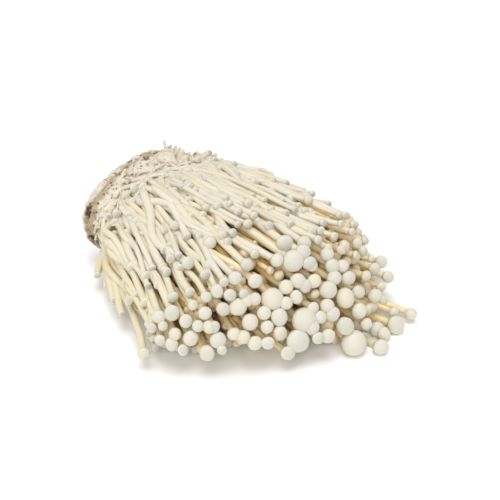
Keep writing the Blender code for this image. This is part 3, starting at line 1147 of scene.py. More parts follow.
    def bend_stems(self, mushrooms: list[Mushroom], draw: random.Random) -> None:
        """Give each stem a bow of its own between its root and its cap.

        Args:
            mushrooms: The mushrooms, whose lines are changed.
            draw: Random numbers.
        """
        for one in mushrooms:
            size = draw.uniform(*self.bend)
            turn, start, waves = draw.uniform(0, 2 * math.pi), draw.random(), draw.uniform(0.7, 1.5)
            share = np.linspace(0, 1, len(self.stations))
            swing = size * np.sin(math.pi * share) * np.sin(2 * math.pi * (start + waves * share))
            one.line[:, 1] += swing * math.cos(turn)
            one.line[:, 2] += 0.6 * swing * math.sin(turn)

    def filler(self, thicket: Thicket, number: int, draw: random.Random) -> Mushroom:
        """One mushroom of a thicket.

        Args:
            thicket: The rule.
            number: Its place in the sequence.
            draw: Random numbers.

        Returns:
            The mushroom.
        """
        turn = math.radians(within(thicket.turns, (number * GOLDEN) % 1))
        depth = within(thicket.depths, math.sqrt((number * PLASTIC + 0.3) % 1))
        along = draw.uniform(*thicket.alongs)
        radius = draw.uniform(*thicket.radii)
        place = (*self.form.place(turn, depth), along)
        root = self.kept_inside(
            *(value + draw.uniform(-thicket.drift, thicket.drift) for value in place[:2])
        )
        middle = self.form.point(*place)
        middle.z = clamp(middle.z, radius + FLOOR_CLEARANCE, self.highest - radius)
        return Mushroom(middle, radius, place, root, 0.5 if depth > 1 else 0.0)

    def inside_outline(self, one: Mushroom) -> bool:
        """Whether a cap is seen inside the outline that the bunch has in the photograph.

        Args:
            one: The cap's mushroom.

        Returns:
            True where it lies inside.
        """
        x, y, far = self.view.pixel(one.middle)
        size = one.radius * self.view.focal_pixels / far - self.edge_margin
        upper, lower = (np.interp(x, *zip(*edge)) for edge in (UPPER_EDGE, LOWER_EDGE))
        return upper < y - size and y + size < lower

    def fits(self, one: Mushroom, others: list[Mushroom]) -> bool:
        """Whether a mushroom's cap is clear of the others and doesn't stand before a cap that shows.

        Args:
            one: The new mushroom.
            others: Those already planned.

        Returns:
            True where it fits.
        """
        if not self.inside_outline(one):
            return False
        x, y, far = self.view.pixel(one.middle)
        for other in others:
            reach = one.radius + other.radius
            if (one.middle - other.middle).length < self.cap_spacing * reach:
                return False
            if not other.facing:
                continue
            other_x, other_y, other_far = self.view.pixel(other.middle)
            apart = math.hypot(x - other_x, y - other_y) * far / self.view.focal_pixels
            if far < other_far + reach and apart < self.cap_spacing * reach:
                return False
        return True

    def stem_radius(self, share: object, cap_radius: object) -> object:
        """A stem's radius at a share of the way from its root to its neck."""
        neck = self.neck_radius + self.neck_per_cap * cap_radius
        return self.root_radius + (neck - self.root_radius) * share**0.7

    def flesh_radius(self, share: float, cap_radius: float) -> float:
        """The radius that a stem shows, which stays thick until shortly before the cap.

        Args:
            share: How far along the stem, from 0 at its root to 1.
            cap_radius: The radius of its cap.

        Returns:
            The radius in metres.
        """
        neck = self.shown_neck_radius + self.shown_neck_per_cap * cap_radius
        neck = min(neck, self.widest_neck * cap_radius)
        thick = min(self.root_radius, neck * self.stem_to_neck)
        return self.slimness * (thick + (neck - thick) * share**1.6)

    def trace(self, mushrooms: list[Mushroom], draw: random.Random) -> None:
        """Draw each stem's line through the stations, from its root towards its cap.

        Args:
            mushrooms: The mushrooms, whose lines are set.
            draw: Random numbers.
        """
        for one in mushrooms:
            side, rise, along = one.place
            tip = self.form.point(side, rise, along)
            phase, waves = draw.uniform(0, 2 * math.pi), draw.uniform(0.8, 1.6)
            points = []
            for station in self.stations:
                share = min(station / along, 1)
                sunk = 1 - self.root_sink * max(0, 1 - station / self.waist)
                here_side = (one.root[0] + (side - one.root[0]) * share) * sunk
                here_rise = (one.root[1] + (rise - one.root[1]) * share) * sunk
                point = self.form.point(here_side, here_rise, min(station, along))
                point += (one.middle - tip) * share**2
                swing = self.stem_wave * math.sin(math.pi * share)
                point.y += swing * math.sin(phase + 2 * math.pi * waves * share)
                point.z += swing * math.cos(phase + 2 * math.pi * waves * share)
                points.append(point)
            one.line = np.array(points)
            one.points_used = 1 + max(
                i for i, station in enumerate(self.stations) if i < 2 or station < along - 0.07
            )

    def settle(self, mushrooms: list[Mushroom], steps: int = 60, smooth: float = 0.25) -> None:
        """Push the stems clear of each other, station by station.

        Args:
            mushrooms: The mushrooms, whose lines are changed.
            steps: How many times they give way.
            smooth: How much each step straightens them.
        """
        counts = np.array([one.points_used for one in mushrooms])
        lines = np.array([one.line for one in mushrooms])
        home = lines.copy()
        radii = np.array([one.radius for one in mushrooms])
        plump = np.array([one.plump for one in mushrooms])
        pairs = {}
        for step in range(steps):
            for column, station in enumerate(self.stations[1:], 1):
                rows = np.flatnonzero(counts > column)
                if len(rows) < 2:
                    continue
                points = lines[rows, column]
                if step % 10 == 0:
                    pairs[column] = self.near_pairs(points)
                first, second = pairs[column]
                thick = plump[rows] * self.stem_radius(station, radii[rows])
                apart = points[first] - points[second]
                distance = np.linalg.norm(apart, axis=1) + 1e-9
                overlap = np.clip(thick[first] + thick[second] + self.gap - distance, 0, None)
                shift = apart * (overlap / distance)[:, None]
                push = np.zeros_like(points)
                np.add.at(push, first, shift)
                np.subtract.at(push, second, shift)
                back = home[rows, column] - points
                points = points + self.push_share * push + self.home_share * back
                points[:, 2] = np.maximum(points[:, 2], thick + FLOOR_CLEARANCE)
                points[:, 2] = np.minimum(points[:, 2], self.highest - thick)
                lines[rows, column] = points
            middle = 0.5 * (lines[:, :-2] + lines[:, 2:])
            lines[:, 1:-1] += smooth * (middle - lines[:, 1:-1])
            lines[:, :, 0] = np.maximum(lines[:, :, 0], self.stem_root_x + ROOT_X)
            lowest = self.root_radius + FLOOR_CLEARANCE
            lines[:, :, 2] = np.maximum(lines[:, :, 2], lowest)
        for one, line in zip(mushrooms, lines):
            one.line = line

    def near_pairs(self, points: np.ndarray) -> tuple[np.ndarray, np.ndarray]:
        """Which points lie so near each other that their stems may touch.

        Args:
            points: The points.

        Returns:
            Rows of the first and of the second point of each pair.
        """
        squares = np.zeros((len(points), len(points)))
        for axis in range(3):
            values = points[:, axis]
            squares += (values[:, None] - values[None]) ** 2
        return np.nonzero(np.triu(squares < self.near**2, 1))

    def sink_roots(self, mushrooms: list[Mushroom]) -> None:
        """Draw the first points of every stem into the fused root, where they lie too near its skin.

        Args:
            mushrooms: The mushrooms, whose lines are changed.
        """
        for row, limit in enumerate(self.root_depths):
            station = self.stations[row]
            centre = self.form.point(0, 0, station)
            left, right = (self.form.point(side, 0, station).y for side in (-1, 1))
            top = self.form.point(0, 1, station).z
            for one in mushrooms:
                aside, upwards = one.line[row, 1] - centre.y, one.line[row, 2] - centre.z
                side = aside / (right - centre.y if aside > 0 else centre.y - left)
                rise = upwards / (top - centre.z if upwards > 0 else centre.z)
                share = min(1.0, limit / max(self.form.depth(side, rise), 1e-6))
                one.line[row, 1] = centre.y + aside * share
                one.line[row, 2] = centre.z + upwards * share

    def face_caps(self, mushrooms: list[Mushroom]) -> None:
        """Turn the caps from their stems a little upwards and to the view, and choose shapes and tints.

        Args:
            mushrooms: The mushrooms, whose headings, shapes and tints are set.
        """
        draw = random.Random(SEED + 3)
        for one in mushrooms:
            one.tint = draw.random()
            heading = (one.middle - Vector(one.line[one.points_used - 1])).normalized()
            lean = Vector([draw.gauss(0, self.cap_lean) for _ in range(3)])
            heading = (heading + lean + Vector((0, 0, self.cap_rise))).normalized()
            if one.facing:
                towards = (self.view.eye - one.middle).normalized()
                heading = heading.lerp(towards, one.facing).normalized()
            one.heading = heading
            shapes = (CapShape.BUTTON, CapShape.BLUNT, CapShape.DOME, CapShape.EGG)
            one.shape = draw.choices(shapes, self.shape_odds)[0]


@dataclass
class FleshTrees:
    """Geometry Nodes trees that give stems and caps their flesh."""

    ring_spacing: float = 0.0055
    stem_lumps: float = 0.00035
    stem_lumps_per_metre: float = 700.0
    cap_unevenness: float = 0.10
    cap_lumps_per_metre: float = 260.0

    def stem_tree(self) -> bpy.types.NodeTree:
        """Tubes along edge lines, with a lumpy surface.

        Returns:
            The tree, whose inputs are the lines, sides, ring spacing, lumps and material.
        """
        tree = bpy.data.node_groups.new("stems_along_lines", "GeometryNodeTree")
        graph = Graph(tree)
        source = self.inputs(tree, (
            ("Geometry", "NodeSocketGeometry"), ("Sides", "NodeSocketInt"),
            ("Ring Spacing", "NodeSocketFloat"), ("Lumps", "NodeSocketFloat"),
            ("Material", "NodeSocketMaterial"),
        ))
        lines = graph.node("GeometryNodeMeshToCurve", None, {"Mesh": source["Geometry"]})
        smooth = graph.node(
            "GeometryNodeCurveSplineType", {"spline_type": "CATMULL_ROM"}, {"Curve": lines.outputs[0]}
        )
        resampled = graph.node(
            "GeometryNodeResampleCurve",
            {"mode": "LENGTH"},
            {"Curve": smooth.outputs[0], "Length": source["Ring Spacing"]},
        )
        ring = graph.node(
            "GeometryNodeCurvePrimitiveCircle", None, {"Resolution": source["Sides"], "Radius": 1.0}
        )
        run = graph.node("GeometryNodeSplineParameter").outputs["Length"]
        along = self.store(graph, resampled.outputs[0], "run", run)
        factor = graph.node("GeometryNodeSplineParameter").outputs["Factor"]
        folded = graph.node("ShaderNodeMath", {"operation": "ABSOLUTE"}, {0: Value(graph, factor) - 0.5})
        around = self.store(graph, ring.outputs[0], "around", folded.outputs[0])
        tube = graph.node("GeometryNodeCurveToMesh", None, {
            "Curve": along,
            "Profile Curve": around,
            "Scale": self.named(graph, "thickness"),
            "Fill Caps": True,
        })
        scale = self.stem_lumps_per_metre
        self.finish(graph, tube.outputs[0], scale, source["Lumps"], source["Material"])
        return tree

    def cap_tree(self) -> bpy.types.NodeTree:
        """Caps set on points, turned to their headings, each a little uneven.

        Returns:
            The tree, whose inputs are the points, the cap shapes, the unevenness and the material.
        """
        tree = bpy.data.node_groups.new("caps_on_points", "GeometryNodeTree")
        graph = Graph(tree)
        source = self.inputs(tree, (
            ("Geometry", "NodeSocketGeometry"), ("Shapes", "NodeSocketCollection"),
            ("Unevenness", "NodeSocketFloat"), ("Material", "NodeSocketMaterial"),
        ))
        shapes = graph.node(
            "GeometryNodeCollectionInfo",
            None,
            {"Collection": source["Shapes"], "Separate Children": True, "Reset Children": True},
        )
        turned = graph.node(
            "FunctionNodeAlignRotationToVector",
            {"axis": "Z"},
            {"Vector": self.named(graph, "heading", "FLOAT_VECTOR")},
        )
        rolled = graph.node("FunctionNodeAxisAngleToRotation", None, {
            "Axis": (0, 0, 1), "Angle": self.named(graph, "roll"),
        })
        both = graph.node(
            "FunctionNodeRotateRotation",
            {"rotation_space": "LOCAL"},
            {"Rotation": turned.outputs[0], "Rotate By": rolled.outputs[0]},
        )
        placed = graph.node("GeometryNodeInstanceOnPoints", None, {
            "Points": source["Geometry"],
            "Instance": shapes.outputs[0],
            "Pick Instance": True,
            "Instance Index": self.named(graph, "shape", "INT"),
            "Rotation": both.outputs[0],
            "Scale": self.named(graph, "proportions", "FLOAT_VECTOR"),
        })
        real = graph.node("GeometryNodeRealizeInstances", None, {0: placed.outputs[0]})
        uneven = graph.node("ShaderNodeMath", {"operation": "MULTIPLY"}, {
            0: source["Unevenness"], 1: self.named(graph, "cap_radius"),
        })
        scale = self.cap_lumps_per_metre
        self.finish(graph, real.outputs[0], scale, uneven.outputs[0], source["Material"])
        return tree

    @staticmethod
    def inputs(tree: bpy.types.NodeTree, wanted: tuple) -> dict:
        """Give a tree its inputs and its one output.

        Args:
            tree: The tree.
            wanted: Names and socket types.

        Returns:
            The inputs' sockets by name.
        """
        for name, kind in wanted:
            tree.interface.new_socket(name, in_out="INPUT", socket_type=kind)
        tree.interface.new_socket("Geometry", in_out="OUTPUT", socket_type="NodeSocketGeometry")
        source = tree.nodes.new("NodeGroupInput")
        return {name: source.outputs[name] for name, _ in wanted}

    @staticmethod
    def named(graph: Graph, name: str, kind: str = "FLOAT") -> bpy.types.NodeSocket:
        """Read an attribute that the source mesh carries."""
        made = graph.node("GeometryNodeInputNamedAttribute", {"data_type": kind}, {"Name": name})
        return made.outputs["Attribute"]

    @staticmethod
    def store(
        graph: Graph, shape: bpy.types.NodeSocket, name: str, value: object
    ) -> bpy.types.NodeSocket:
        """Keep a number at each point of a shape.

        Args:
            graph: The tree.
            shape: The shape.
            name: Name of the attribute.
            value: The number or where it comes from.

        Returns:
            The shape with the attribute.
        """
        made = graph.node(
            "GeometryNodeStoreNamedAttribute",
            {"data_type": "FLOAT", "domain": "POINT"},
            {"Geometry": shape, "Name": name, "Value": value},
        )
        return made.outputs[0]

    @staticmethod
    def finish(graph: Graph, shape: object, scale: float, amount: object, material: object) -> None:
        """Push the surface in and out by noise, shade it smooth, and end the tree.

        Args:
            graph: The tree's graph.
            shape: The geometry.
            scale: Lumps per metre.
            amount: How far they reach, in metres.
            material: The material's socket.
        """
        lump = graph.noise(graph.node("GeometryNodeInputPosition").outputs[0], scale, 1.0)
        normal = graph.node("GeometryNodeInputNormal").outputs[0]
        height = (lump - 0.5) * Value(graph, amount)
        push = graph.node("ShaderNodeVectorMath", {"operation": "SCALE"}, {0: normal, 3: height})
        moved = graph.node(
            "GeometryNodeSetPosition", None, {"Geometry": shape, "Offset": push.outputs[0]}
        )
        smooth = graph.node("GeometryNodeSetShadeSmooth", None, {"Geometry": moved.outputs[0]})
        real = graph.node("GeometryNodeRealizeInstances", None, {0: smooth.outputs[0]})
        dressed = graph.node(
            "GeometryNodeSetMaterial", None, {"Geometry": real.outputs[0], "Material": material}
        )
        out = graph.node("NodeGroupOutput")
        graph.feed(out.inputs[0], dressed.outputs[0])


def grow(name: str, source: bpy.types.Mesh, tree: bpy.types.NodeTree, values: dict) -> bpy.types.Object:
    """Run a Geometry Nodes tree on a mesh and keep the result, from the floor up, as a plain mesh.

    Args:
        name: The new piece's name.
        source: The mesh that the tree starts from.
        tree: The tree.
        values: Input names to values.

    Returns:
        The piece.
    """
    seedling = bpy.data.objects.new(name + "_lines", source)
    bpy.context.scene.collection.objects.link(seedling)
    modifier = seedling.modifiers.new("grow", "NODES")
    modifier.node_group = tree
    items = tree.interface.items_tree
    sockets = {item.name: item.identifier for item in items if item.in_out == "INPUT"}
    for key, value in values.items():
        modifier[sockets[key]] = value
    bpy.context.view_layer.update()
    graph = bpy.context.evaluated_depsgraph_get()
    data = bpy.data.meshes.new_from_object(seedling.evaluated_get(graph))
    places = np.empty(3 * len(data.vertices), dtype=np.float32)
    data.vertices.foreach_get("co", places)
    places[2::3] = np.maximum(places[2::3], 0.0)
    data.vertices.foreach_set("co", places)
    seedling.modifiers.clear()
    bpy.data.objects.remove(seedling)
    data.name = name
    piece = bpy.data.objects.new(name, data)
    bpy.context.scene.collection.objects.link(piece)
    return piece


def carry(data: bpy.types.Mesh, name: str, values: list) -> None:
    """Keep a number, a whole number or a vector at each point of a mesh.

    Args:
        data: The mesh.
        name: What the values are kept as.
        values: One for each point, all of one kind.
    """
    if isinstance(values[0], (Vector, tuple)):
        flat = [part for value in values for part in value]
        data.attributes.new(name, "FLOAT_VECTOR", "POINT").data.foreach_set("vector", flat)
    else:
        kind = "INT" if isinstance(values[0], int) else "FLOAT"
        data.attributes.new(name, kind, "POINT").data.foreach_set("value", values)


def mesh_with(name: str, points: list, edges: list, carried: dict[str, list]) -> bpy.types.Mesh:
    """A mesh of points and edges that carries values.

    Args:
        name: The mesh's name.
        points: Its points.
        edges: Its edges.
        carried: Names to a value for each point.

    Returns:
        The mesh.
    """
    data = bpy.data.meshes.new(name)
    data.from_pydata(points, edges, [])
    for key, values in carried.items():
        carry(data, key, values)
    return data


@dataclass
class Mushrooms:
    """Stems and caps of a set of mushrooms."""

    planting: Planting
    trees: FleshTrees
    # Depths below the sides and the front at which the painted shade of stems and caps is full.
    stem_shade_reach: Range = (0.0048, 0.036)
    cap_shade_reach: Range = (0.0070, 0.015)
    stem_unevenness: Range = (0.94, 1.06)
    young_radius: float = 0.0026
    young_span: float = 0.0010

    def path(self, one: Mushroom) -> list[Vector]:
        """A stem's points from its root into its cap.

        Args:
            one: The mushroom.

        Returns:
            The points, in order.
        """
        neck = one.middle - one.heading * (0.55 * one.radius)
        return [Vector(point) for point in one.line[: one.points_used]] + [
            neck - one.heading * min(0.0022, one.radius),
            neck + one.heading * (0.25 * one.radius),
        ]

    def stems(
        self, name: str, mushrooms: list[Mushroom], sides: int, material: bpy.types.Material
    ) -> bpy.types.Object:
        """The stems as one piece.

        Args:
            name: The piece's name.
            mushrooms: Whose stems they are.
            sides: Faces round each stem.
            material: Their material.

        Returns:
            The piece.
        """
        draw = random.Random(SEED + 4)
        points, edges = [], []
        carried = {"thickness": [], "share": [], "inner": [], "tint": []}
        for one in mushrooms:
            path = self.path(one)
            plump, side, rise = one.plump * draw.uniform(0.95, 1.05), *one.place[:2]
            for i, point in enumerate(path):
                share = i / (len(path) - 1)
                if i:
                    edges.append((len(points) - 1, len(points)))
                size = plump * self.planting.flesh_radius(share, one.radius)
                size *= draw.uniform(*self.stem_unevenness)
                points.append(point)
                # inner: how deep the point lies in the bunch, which the stem material paints as shade.
                inner = self.planting.form.buried(side, rise, one.place[2] * share, *self.stem_shade_reach)
                values = (min(size, point.z - 0.0001), share, inner, one.tint)
                for kept, value in zip(carried.values(), values):
                    kept.append(value)
        return grow(name, mesh_with(name, points, edges, carried), self.trees.stem_tree(), {
            "Sides": sides,
            "Ring Spacing": self.trees.ring_spacing,
            "Lumps": self.trees.stem_lumps,
            "Material": material,
        })

    def caps(
        self, name: str, mushrooms: list[Mushroom], sides: int, material: bpy.types.Material
    ) -> bpy.types.Object:
        """The caps as one piece.

        Args:
            name: The piece's name.
            mushrooms: Whose caps they are.
            sides: Faces round each cap, a third of which run up its crown.
            material: Their material.

        Returns:
            The piece.
        """
        draw = random.Random(SEED + 5)
        steps = max(3, sides // 3)
        shapes = bpy.data.collections.new("cap_shapes")
        bpy.context.scene.collection.children.link(shapes)
        for number, shape in enumerate(CapShape):
            helper = bpy.data.objects.new(f"{number}_{shape.name.lower()}", shape.mesh(sides, steps))
            shapes.objects.link(helper)
        order = list(CapShape)
        names = ("proportions", "roll", "heading", "shape", "tint", "inner", "cap_radius", "young")
        carried = {key: [] for key in names}
        for one in mushrooms:
            wide = draw.uniform(0.95, 1.06)
            values = (
                (one.radius * wide, one.radius / wide, one.radius * draw.uniform(0.92, 1.1)),
                draw.uniform(0, 2 * math.pi),
                one.heading,
                order.index(one.shape),
                one.tint,
                # How deep the cap lies in the bunch, which the cap material paints as shade.
                self.planting.form.buried(*one.place, *self.cap_shade_reach),
                one.radius,
                clamp((self.young_radius - one.radius) / self.young_span),
            )
            for kept, value in zip(carried.values(), values):
                kept.append(value)
        source = mesh_with(name, [one.middle for one in mushrooms], [], carried)
        piece = grow(name, source, self.trees.cap_tree(), {
            "Shapes": shapes,
            "Unevenness": self.trees.cap_unevenness,
            "Material": material,
        })
        for helper in list(shapes.objects):
            bpy.data.objects.remove(helper)
        bpy.data.collections.remove(shapes)
        return piece


def lofted(name: str, rings: list[list[Vector]]) -> bpy.types.Object:
    """A closed object through rings of points.

    Args:
        name: Its name.
        rings: Rings of as many points each, running the same way round.

    Returns:
        The object.
    """
    shape = bmesh.new()
    loops = [[shape.verts.new(point) for point in ring] for ring in rings]
    for ring, following in zip(loops, loops[1:]):
        for i, corner in enumerate(ring):
            shape.faces.new((ring[i - 1], corner, following[i], following[i - 1]))
    shape.faces.new(loops[0])
    shape.faces.new(reversed(loops[-1]))
    bmesh.ops.recalc_face_normals(shape, faces=shape.faces)
    data = bpy.data.meshes.new(name)
    shape.to_mesh(data)
    shape.free()
    piece = bpy.data.objects.new(name, data)
    bpy.context.scene.collection.objects.link(piece)
    return piece


def dress(piece: bpy.types.Object, material: bpy.types.Material) -> bpy.types.Object:
    """Give a piece its one material.

    Args:
        piece: The piece.
        material: Its material.

    Returns:
        The same piece.
    """
    piece.data.materials.clear()
    piece.data.materials.append(material)
    return piece


def remeshed(piece: bpy.types.Object, voxel: float) -> bpy.types.Object:
    """Replace an object's mesh by an even skin over everything in it.

    Args:
        piece: The object.
        voxel: The skin's grain in metres.

    Returns:
        The object.
    """
    modifier = piece.modifiers.new("skin", "REMESH")
    modifier.mode = "VOXEL"
    modifier.voxel_size = voxel
    modifier.use_smooth_shade = True
    bpy.context.view_layer.update()
    data = bpy.data.meshes.new_from_object(piece.evaluated_get(bpy.context.evaluated_depsgraph_get()))
    piece.modifiers.clear()
    piece.data = data
    return piece


@dataclass
class Root:
    """The fused root: a block of mycelium into which the stems' bases have grown together."""

    form: BunchForm
    block_end: float = 0.17
    waist: float = 0.27
    core_end: float = 0.38
    block_depth: float = 0.985
    core_depth: float = 0.66
    around: int = 40
    base_growth: tuple[float, ...] = (1.16, 1.12, 1.02, 0.86)
    pin_radii: tuple[float, ...] = (0.0022, 0.0019, 0.0013, 0.0007)
    voxel: float = 0.0007
    furrow: float = 0.0019
    pit_depth: float = 0.0018
    pit_zone: float = 0.024
    furrow_zone: float = 0.040
    furrows: Vector = field(default_factory=lambda: Vector((150, 360, 360)))
    lumps: float = 240
    hollows: float = 230
    holes: float = 330
    lowest: float = 0.0008

    def ring_depth(self, along: float) -> float:
        """Depth in the section of the block and of the core that follows it.

        Args:
            along: 0 at the root end, 1 at the furthest caps.

        Returns:
            The depth, 1 being on the form's surface.
        """
        if along <= self.block_end:
            return self.block_depth
        if along <= self.waist:
            share = (along - self.block_end) / (self.waist - self.block_end)
            return within((self.block_depth, self.core_depth), 3 * share**2 - 2 * share**3)
        share = (along - self.waist) / (self.core_end - self.waist)
        return self.core_depth * math.sqrt(max(1 - 0.9 * share**3, 0.02))

    def build(
        self,
        mushrooms: list[Mushroom],
        pins: list[Mushroom],
        planting: Planting,
        material: bpy.types.Material,
    ) -> bpy.types.Object:
        """Loft the block, sink the stems' bases in it, skin it over and work its surface.

        Args:
            mushrooms: Whose bases are fused.
            pins: Pins of which half the length is fused.
            planting: Gives the stems' thickness.
            material: The root's material.

        Returns:
            The piece.
        """
        first = (BLOCK_X - ROOT_X) / self.form.length
        alongs = (first, 0.09, self.block_end, 0.21, self.waist, 0.31, 0.345, self.core_end)
        block = lofted("fused_root", [
            self.form.ring(self.around, self.ring_depth(along), along, x, self.lowest)
            for along, x in zip(alongs, [BLOCK_X] + [None] * len(alongs))
        ])
        shape = bmesh.new()
        shape.from_mesh(block.data)
        for one in mushrooms:
            self.add_base(shape, one.line[:4], [
                planting.stem_radius(0.1 * i, one.radius) * grown
                for i, grown in enumerate(self.base_growth)
            ])
        for one in pins:
            self.add_base(shape, one.line[:4], self.pin_radii)
        shape.to_mesh(block.data)
        shape.free()
        remeshed(block, self.voxel)
        self.work_surface(block.data)
        return dress(block, material)

    def add_base(self, shape: bmesh.types.BMesh, line: np.ndarray, radii: tuple[float, ...]) -> None:
        """Add one stem's base as a chain of tapering rods.

        Args:
            shape: The mesh that gets it.
            line: The points of its middle.
            radii: Its radius at each of them.
        """
        path = [Vector(point) for point in line]
        for i, (start, end) in enumerate(zip(path, path[1:])):
            along = end - start
            turn = along.to_track_quat("Z", "Y").to_matrix().to_4x4()
            bmesh.ops.create_cone(
                shape,
                cap_ends=True,
                segments=10,
                radius1=min(radii[i], start.z - 0.0002),
                radius2=min(radii[i + 1], end.z - 0.0002),
                depth=along.length * 1.04,
                matrix=Matrix.Translation((start + end) / 2) @ turn,
            )

    def work_surface(self, data: bpy.types.Mesh) -> None:
        """Furrow the skin and sink pits near the root end, and keep the pits' depth at each point.

        Args:
            data: The remeshed skin.
        """
        pits = []
        normals = [vert.normal.copy() for vert in data.vertices]
        for vert, normal in zip(data.vertices, normals):
            here = vert.co
            from_end = here.x - BLOCK_X
            furrow = noise.noise(here * self.furrows)
            lump = noise.noise(here * self.lumps)
            near_end = max(0.0, 1 - from_end / self.pit_zone)
            hollow = noise.noise(here * self.hollows + Vector((7, 3, 1)))
            hole = max(0.0, 0.30 - noise.voronoi(here * self.holes)[0][0]) / 0.30
            pit = max(0.0, (hollow - 0.30) / 0.3) + 0.8 * hole * (hollow > -0.05)
            pit = min(1.0, 2.2 * near_end) * pit
            fade = max(0.0, 1 - from_end / self.furrow_zone)
            push = self.furrow * fade * (0.6 * furrow + 0.7 * lump) - self.pit_depth * min(pit, 1)
            vert.co = here + normal * push
            vert.co.x = max(vert.co.x, BLOCK_X - 0.0008)
            vert.co.z = max(vert.co.z, 0.0002)
            pits.append(min(pit, 1.0))
        carry(data, "pit", pits)


@dataclass
class MediumRind:
    """The rind of growing medium on the root end: crumbs and husks under pale threads."""

    form: BunchForm
    around: int = 60
    voxel: float = 0.0006
    crumb: float = 0.0011
    inset: float = 0.0012
    lowest: float = 0.0012
    overlap: float = 0.0006
    margin: float = 0.0001
    coarse: float = 210
    fine: float = 520
    cells: float = 420

    def build(self, material: bpy.types.Material) -> bpy.types.Object:
        """Loft the rind, skin it over and roughen it to crumbs.

        Args:
            material: Its material.

        Returns:
            The piece.
        """
        low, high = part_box("growing_medium")
        thick = high.x - low.x
        profile = (
            (self.inset, 0.86), (0.25 * thick, 0.965), (0.7 * thick, 0.985), (thick + self.overlap, 0.95)
        )
        rind = remeshed(lofted("growing_medium_rind", [
            self.form.ring(self.around, depth, x / self.form.length, low.x + x, self.lowest)
            for x, depth in profile
        ]), self.voxel)
        self.roughen(rind.data, low, high)
        return dress(rind, material)

    def roughen(self, data: bpy.types.Mesh, low: Vector, high: Vector) -> None:
        """Push crumbs out and pits in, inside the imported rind's box.

        Args:
            data: The skin.
            low: The box's lowest corner.
            high: The box's highest corner.
        """
        pits, veils = [], []
        normals = [vert.normal.copy() for vert in data.vertices]
        for vert, normal in zip(data.vertices, normals):
            here = vert.co
            coarse = noise.noise(here * self.coarse)
            fine = noise.noise(here * self.fine)
            cell = noise.cell(here * self.cells)
            push = self.crumb * (0.7 * coarse + 0.45 * fine + 0.25 * cell)
            vert.co = here + normal * push
            for axis in range(3):
                vert.co[axis] = clamp(vert.co[axis], low[axis] + self.margin, high[axis] - self.margin)
            rear = clamp(1.3 - abs(here.x - low.x - 0.0010) / 0.0022)
            flat = clamp((-normal.x - 0.75) / 0.2)
            lip = clamp(1.5 - abs(here.x - low.x - 0.0018) / 0.0014) * (1 - flat)
            upper = clamp((here.z - 0.026) / 0.012)
            pits.append(clamp(0.35 - 1.6 * coarse - 0.8 * fine) * (1 - 0.8 * lip))
            veils.append(max(0.80 * rear + 0.55 * upper - 0.45 * flat, 1.15 * lip))
        carry(data, "pit", pits)
        carry(data, "veil", veils)


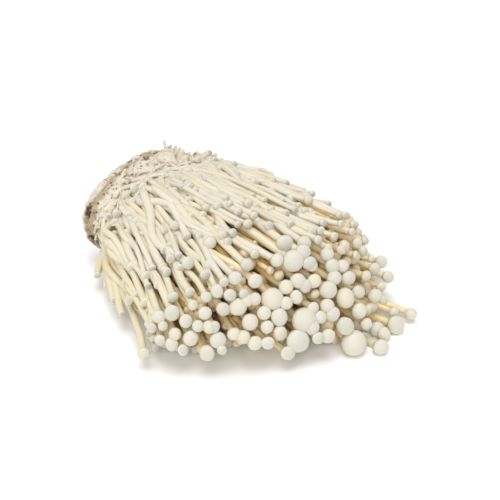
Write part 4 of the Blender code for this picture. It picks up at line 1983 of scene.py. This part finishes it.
@dataclass(frozen=True)
class Studio:
    """A plain white floor under soft, nearly even light."""

    floor_side: float = 6.0
    world_strength: float = 0.48
    floor_colour: Colour = (0.95, 0.95, 0.95)
    key_from: Place = (0.06, -0.10, 0.95)
    key_width: float = 40.0
    key_strength: float = 1.55
    fill_from: Place = (0.50, -0.70, 0.52)
    fill_width: float = 30.0
    fill_strength: float = 1.25

    def build(self) -> None:
        """Make the floor, the world and the lamps."""
        bpy.ops.mesh.primitive_plane_add(size=self.floor_side, location=(0, 0, 0))
        floor = bpy.context.object
        floor.name = "floor"
        skin = Skin("floor_white", {"Specular IOR Level": 0.0, "Roughness": 1.0})
        skin.feed(skin.shader.inputs["Base Color"], self.floor_colour)
        floor.data.materials.append(skin.material)
        world = bpy.data.worlds.new("studio_white")
        world.use_nodes = True
        background = world.node_tree.nodes["Background"]
        background.inputs["Color"].default_value = (1.0, 1.0, 1.0, 1.0)
        background.inputs["Strength"].default_value = self.world_strength
        bpy.context.scene.world = world
        self.lamp("key", self.key_from, self.key_width, self.key_strength)
        self.lamp("front_fill", self.fill_from, self.fill_width, self.fill_strength)
        bpy.context.scene.view_settings.view_transform = "Standard"

    def lamp(self, name: str, source: Place, width: float, strength: float) -> None:
        """A far and wide lamp, which lights floor and bunch evenly.

        Args:
            name: Its name.
            source: The direction that its light comes from.
            width: How wide it looks, in degrees.
            strength: Its strength in watts per square metre.
        """
        light = bpy.data.lights.new(name, "SUN")
        light.angle = math.radians(width)
        light.energy = strength
        holder = bpy.data.objects.new(name, light)
        bpy.context.scene.collection.objects.link(holder)
        holder.rotation_euler = (-Vector(source)).to_track_quat("-Z", "Y").to_euler()


class Fineness(Enum):
    """Sets of mushrooms, with the faces round each stem and round each cap."""

    MAIN = (12, 16)
    NEAR = (10, 12)
    INNER = (9, 10)
    PIN = (7, 7)


def hold(piece: bpy.types.Object, node: str, slot: str) -> None:
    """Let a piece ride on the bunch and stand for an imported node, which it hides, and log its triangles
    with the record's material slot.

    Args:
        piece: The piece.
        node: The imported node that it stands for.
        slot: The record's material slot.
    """
    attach(piece, BODY)
    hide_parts(node)
    triangles = sum(len(face.vertices) - 2 for face in piece.data.polygons)
    LOG.info("%s: %d triangles, slot %s", piece.name, triangles, slot)


def main() -> None:
    """Build the bunch, its looks and the studio."""
    logging.basicConfig(level=logging.INFO, format="%(name)s: %(message)s")
    form, view = BunchForm(), PhotoView()
    view.place_camera()
    Studio().build()
    planting = Planting(form, view)
    main_ones = planting.main_mushrooms()
    fine_ones = planting.fine_mushrooms(main_ones)
    planting.face_caps(main_ones + fine_ones)
    stem, cap, root = StemFinish().material(), CapFinish().material(), RootFinish().material()
    pins = planting.pin_mushrooms()
    planting.face_caps(pins)
    mushrooms = Mushrooms(planting, FleshTrees())
    near = len(fine_ones) // 2
    sets = zip(Fineness, (main_ones, fine_ones[:near], fine_ones[near:], pins))
    for fineness, ones in sets:
        name, (stem_sides, cap_sides) = fineness.name.lower(), fineness.value
        hold(mushrooms.stems(f"{name}_stems", ones, stem_sides, stem), "mushroom_bunch", FLESH_SLOT)
        hold(mushrooms.caps(f"{name}_caps", ones, cap_sides, cap), "mushroom_bunch", FLESH_SLOT)
    seen_pins = pins[:len(SEEN_PINS)]
    fused = Root(form).build(main_ones + fine_ones, seen_pins, planting, root)
    hold(fused, "mushroom_bunch", FLESH_SLOT)
    hold(MediumRind(form).build(MediumFinish().material()), "growing_medium", MEDIUM_SLOT)
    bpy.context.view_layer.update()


if __name__ == "__main__":
    main()
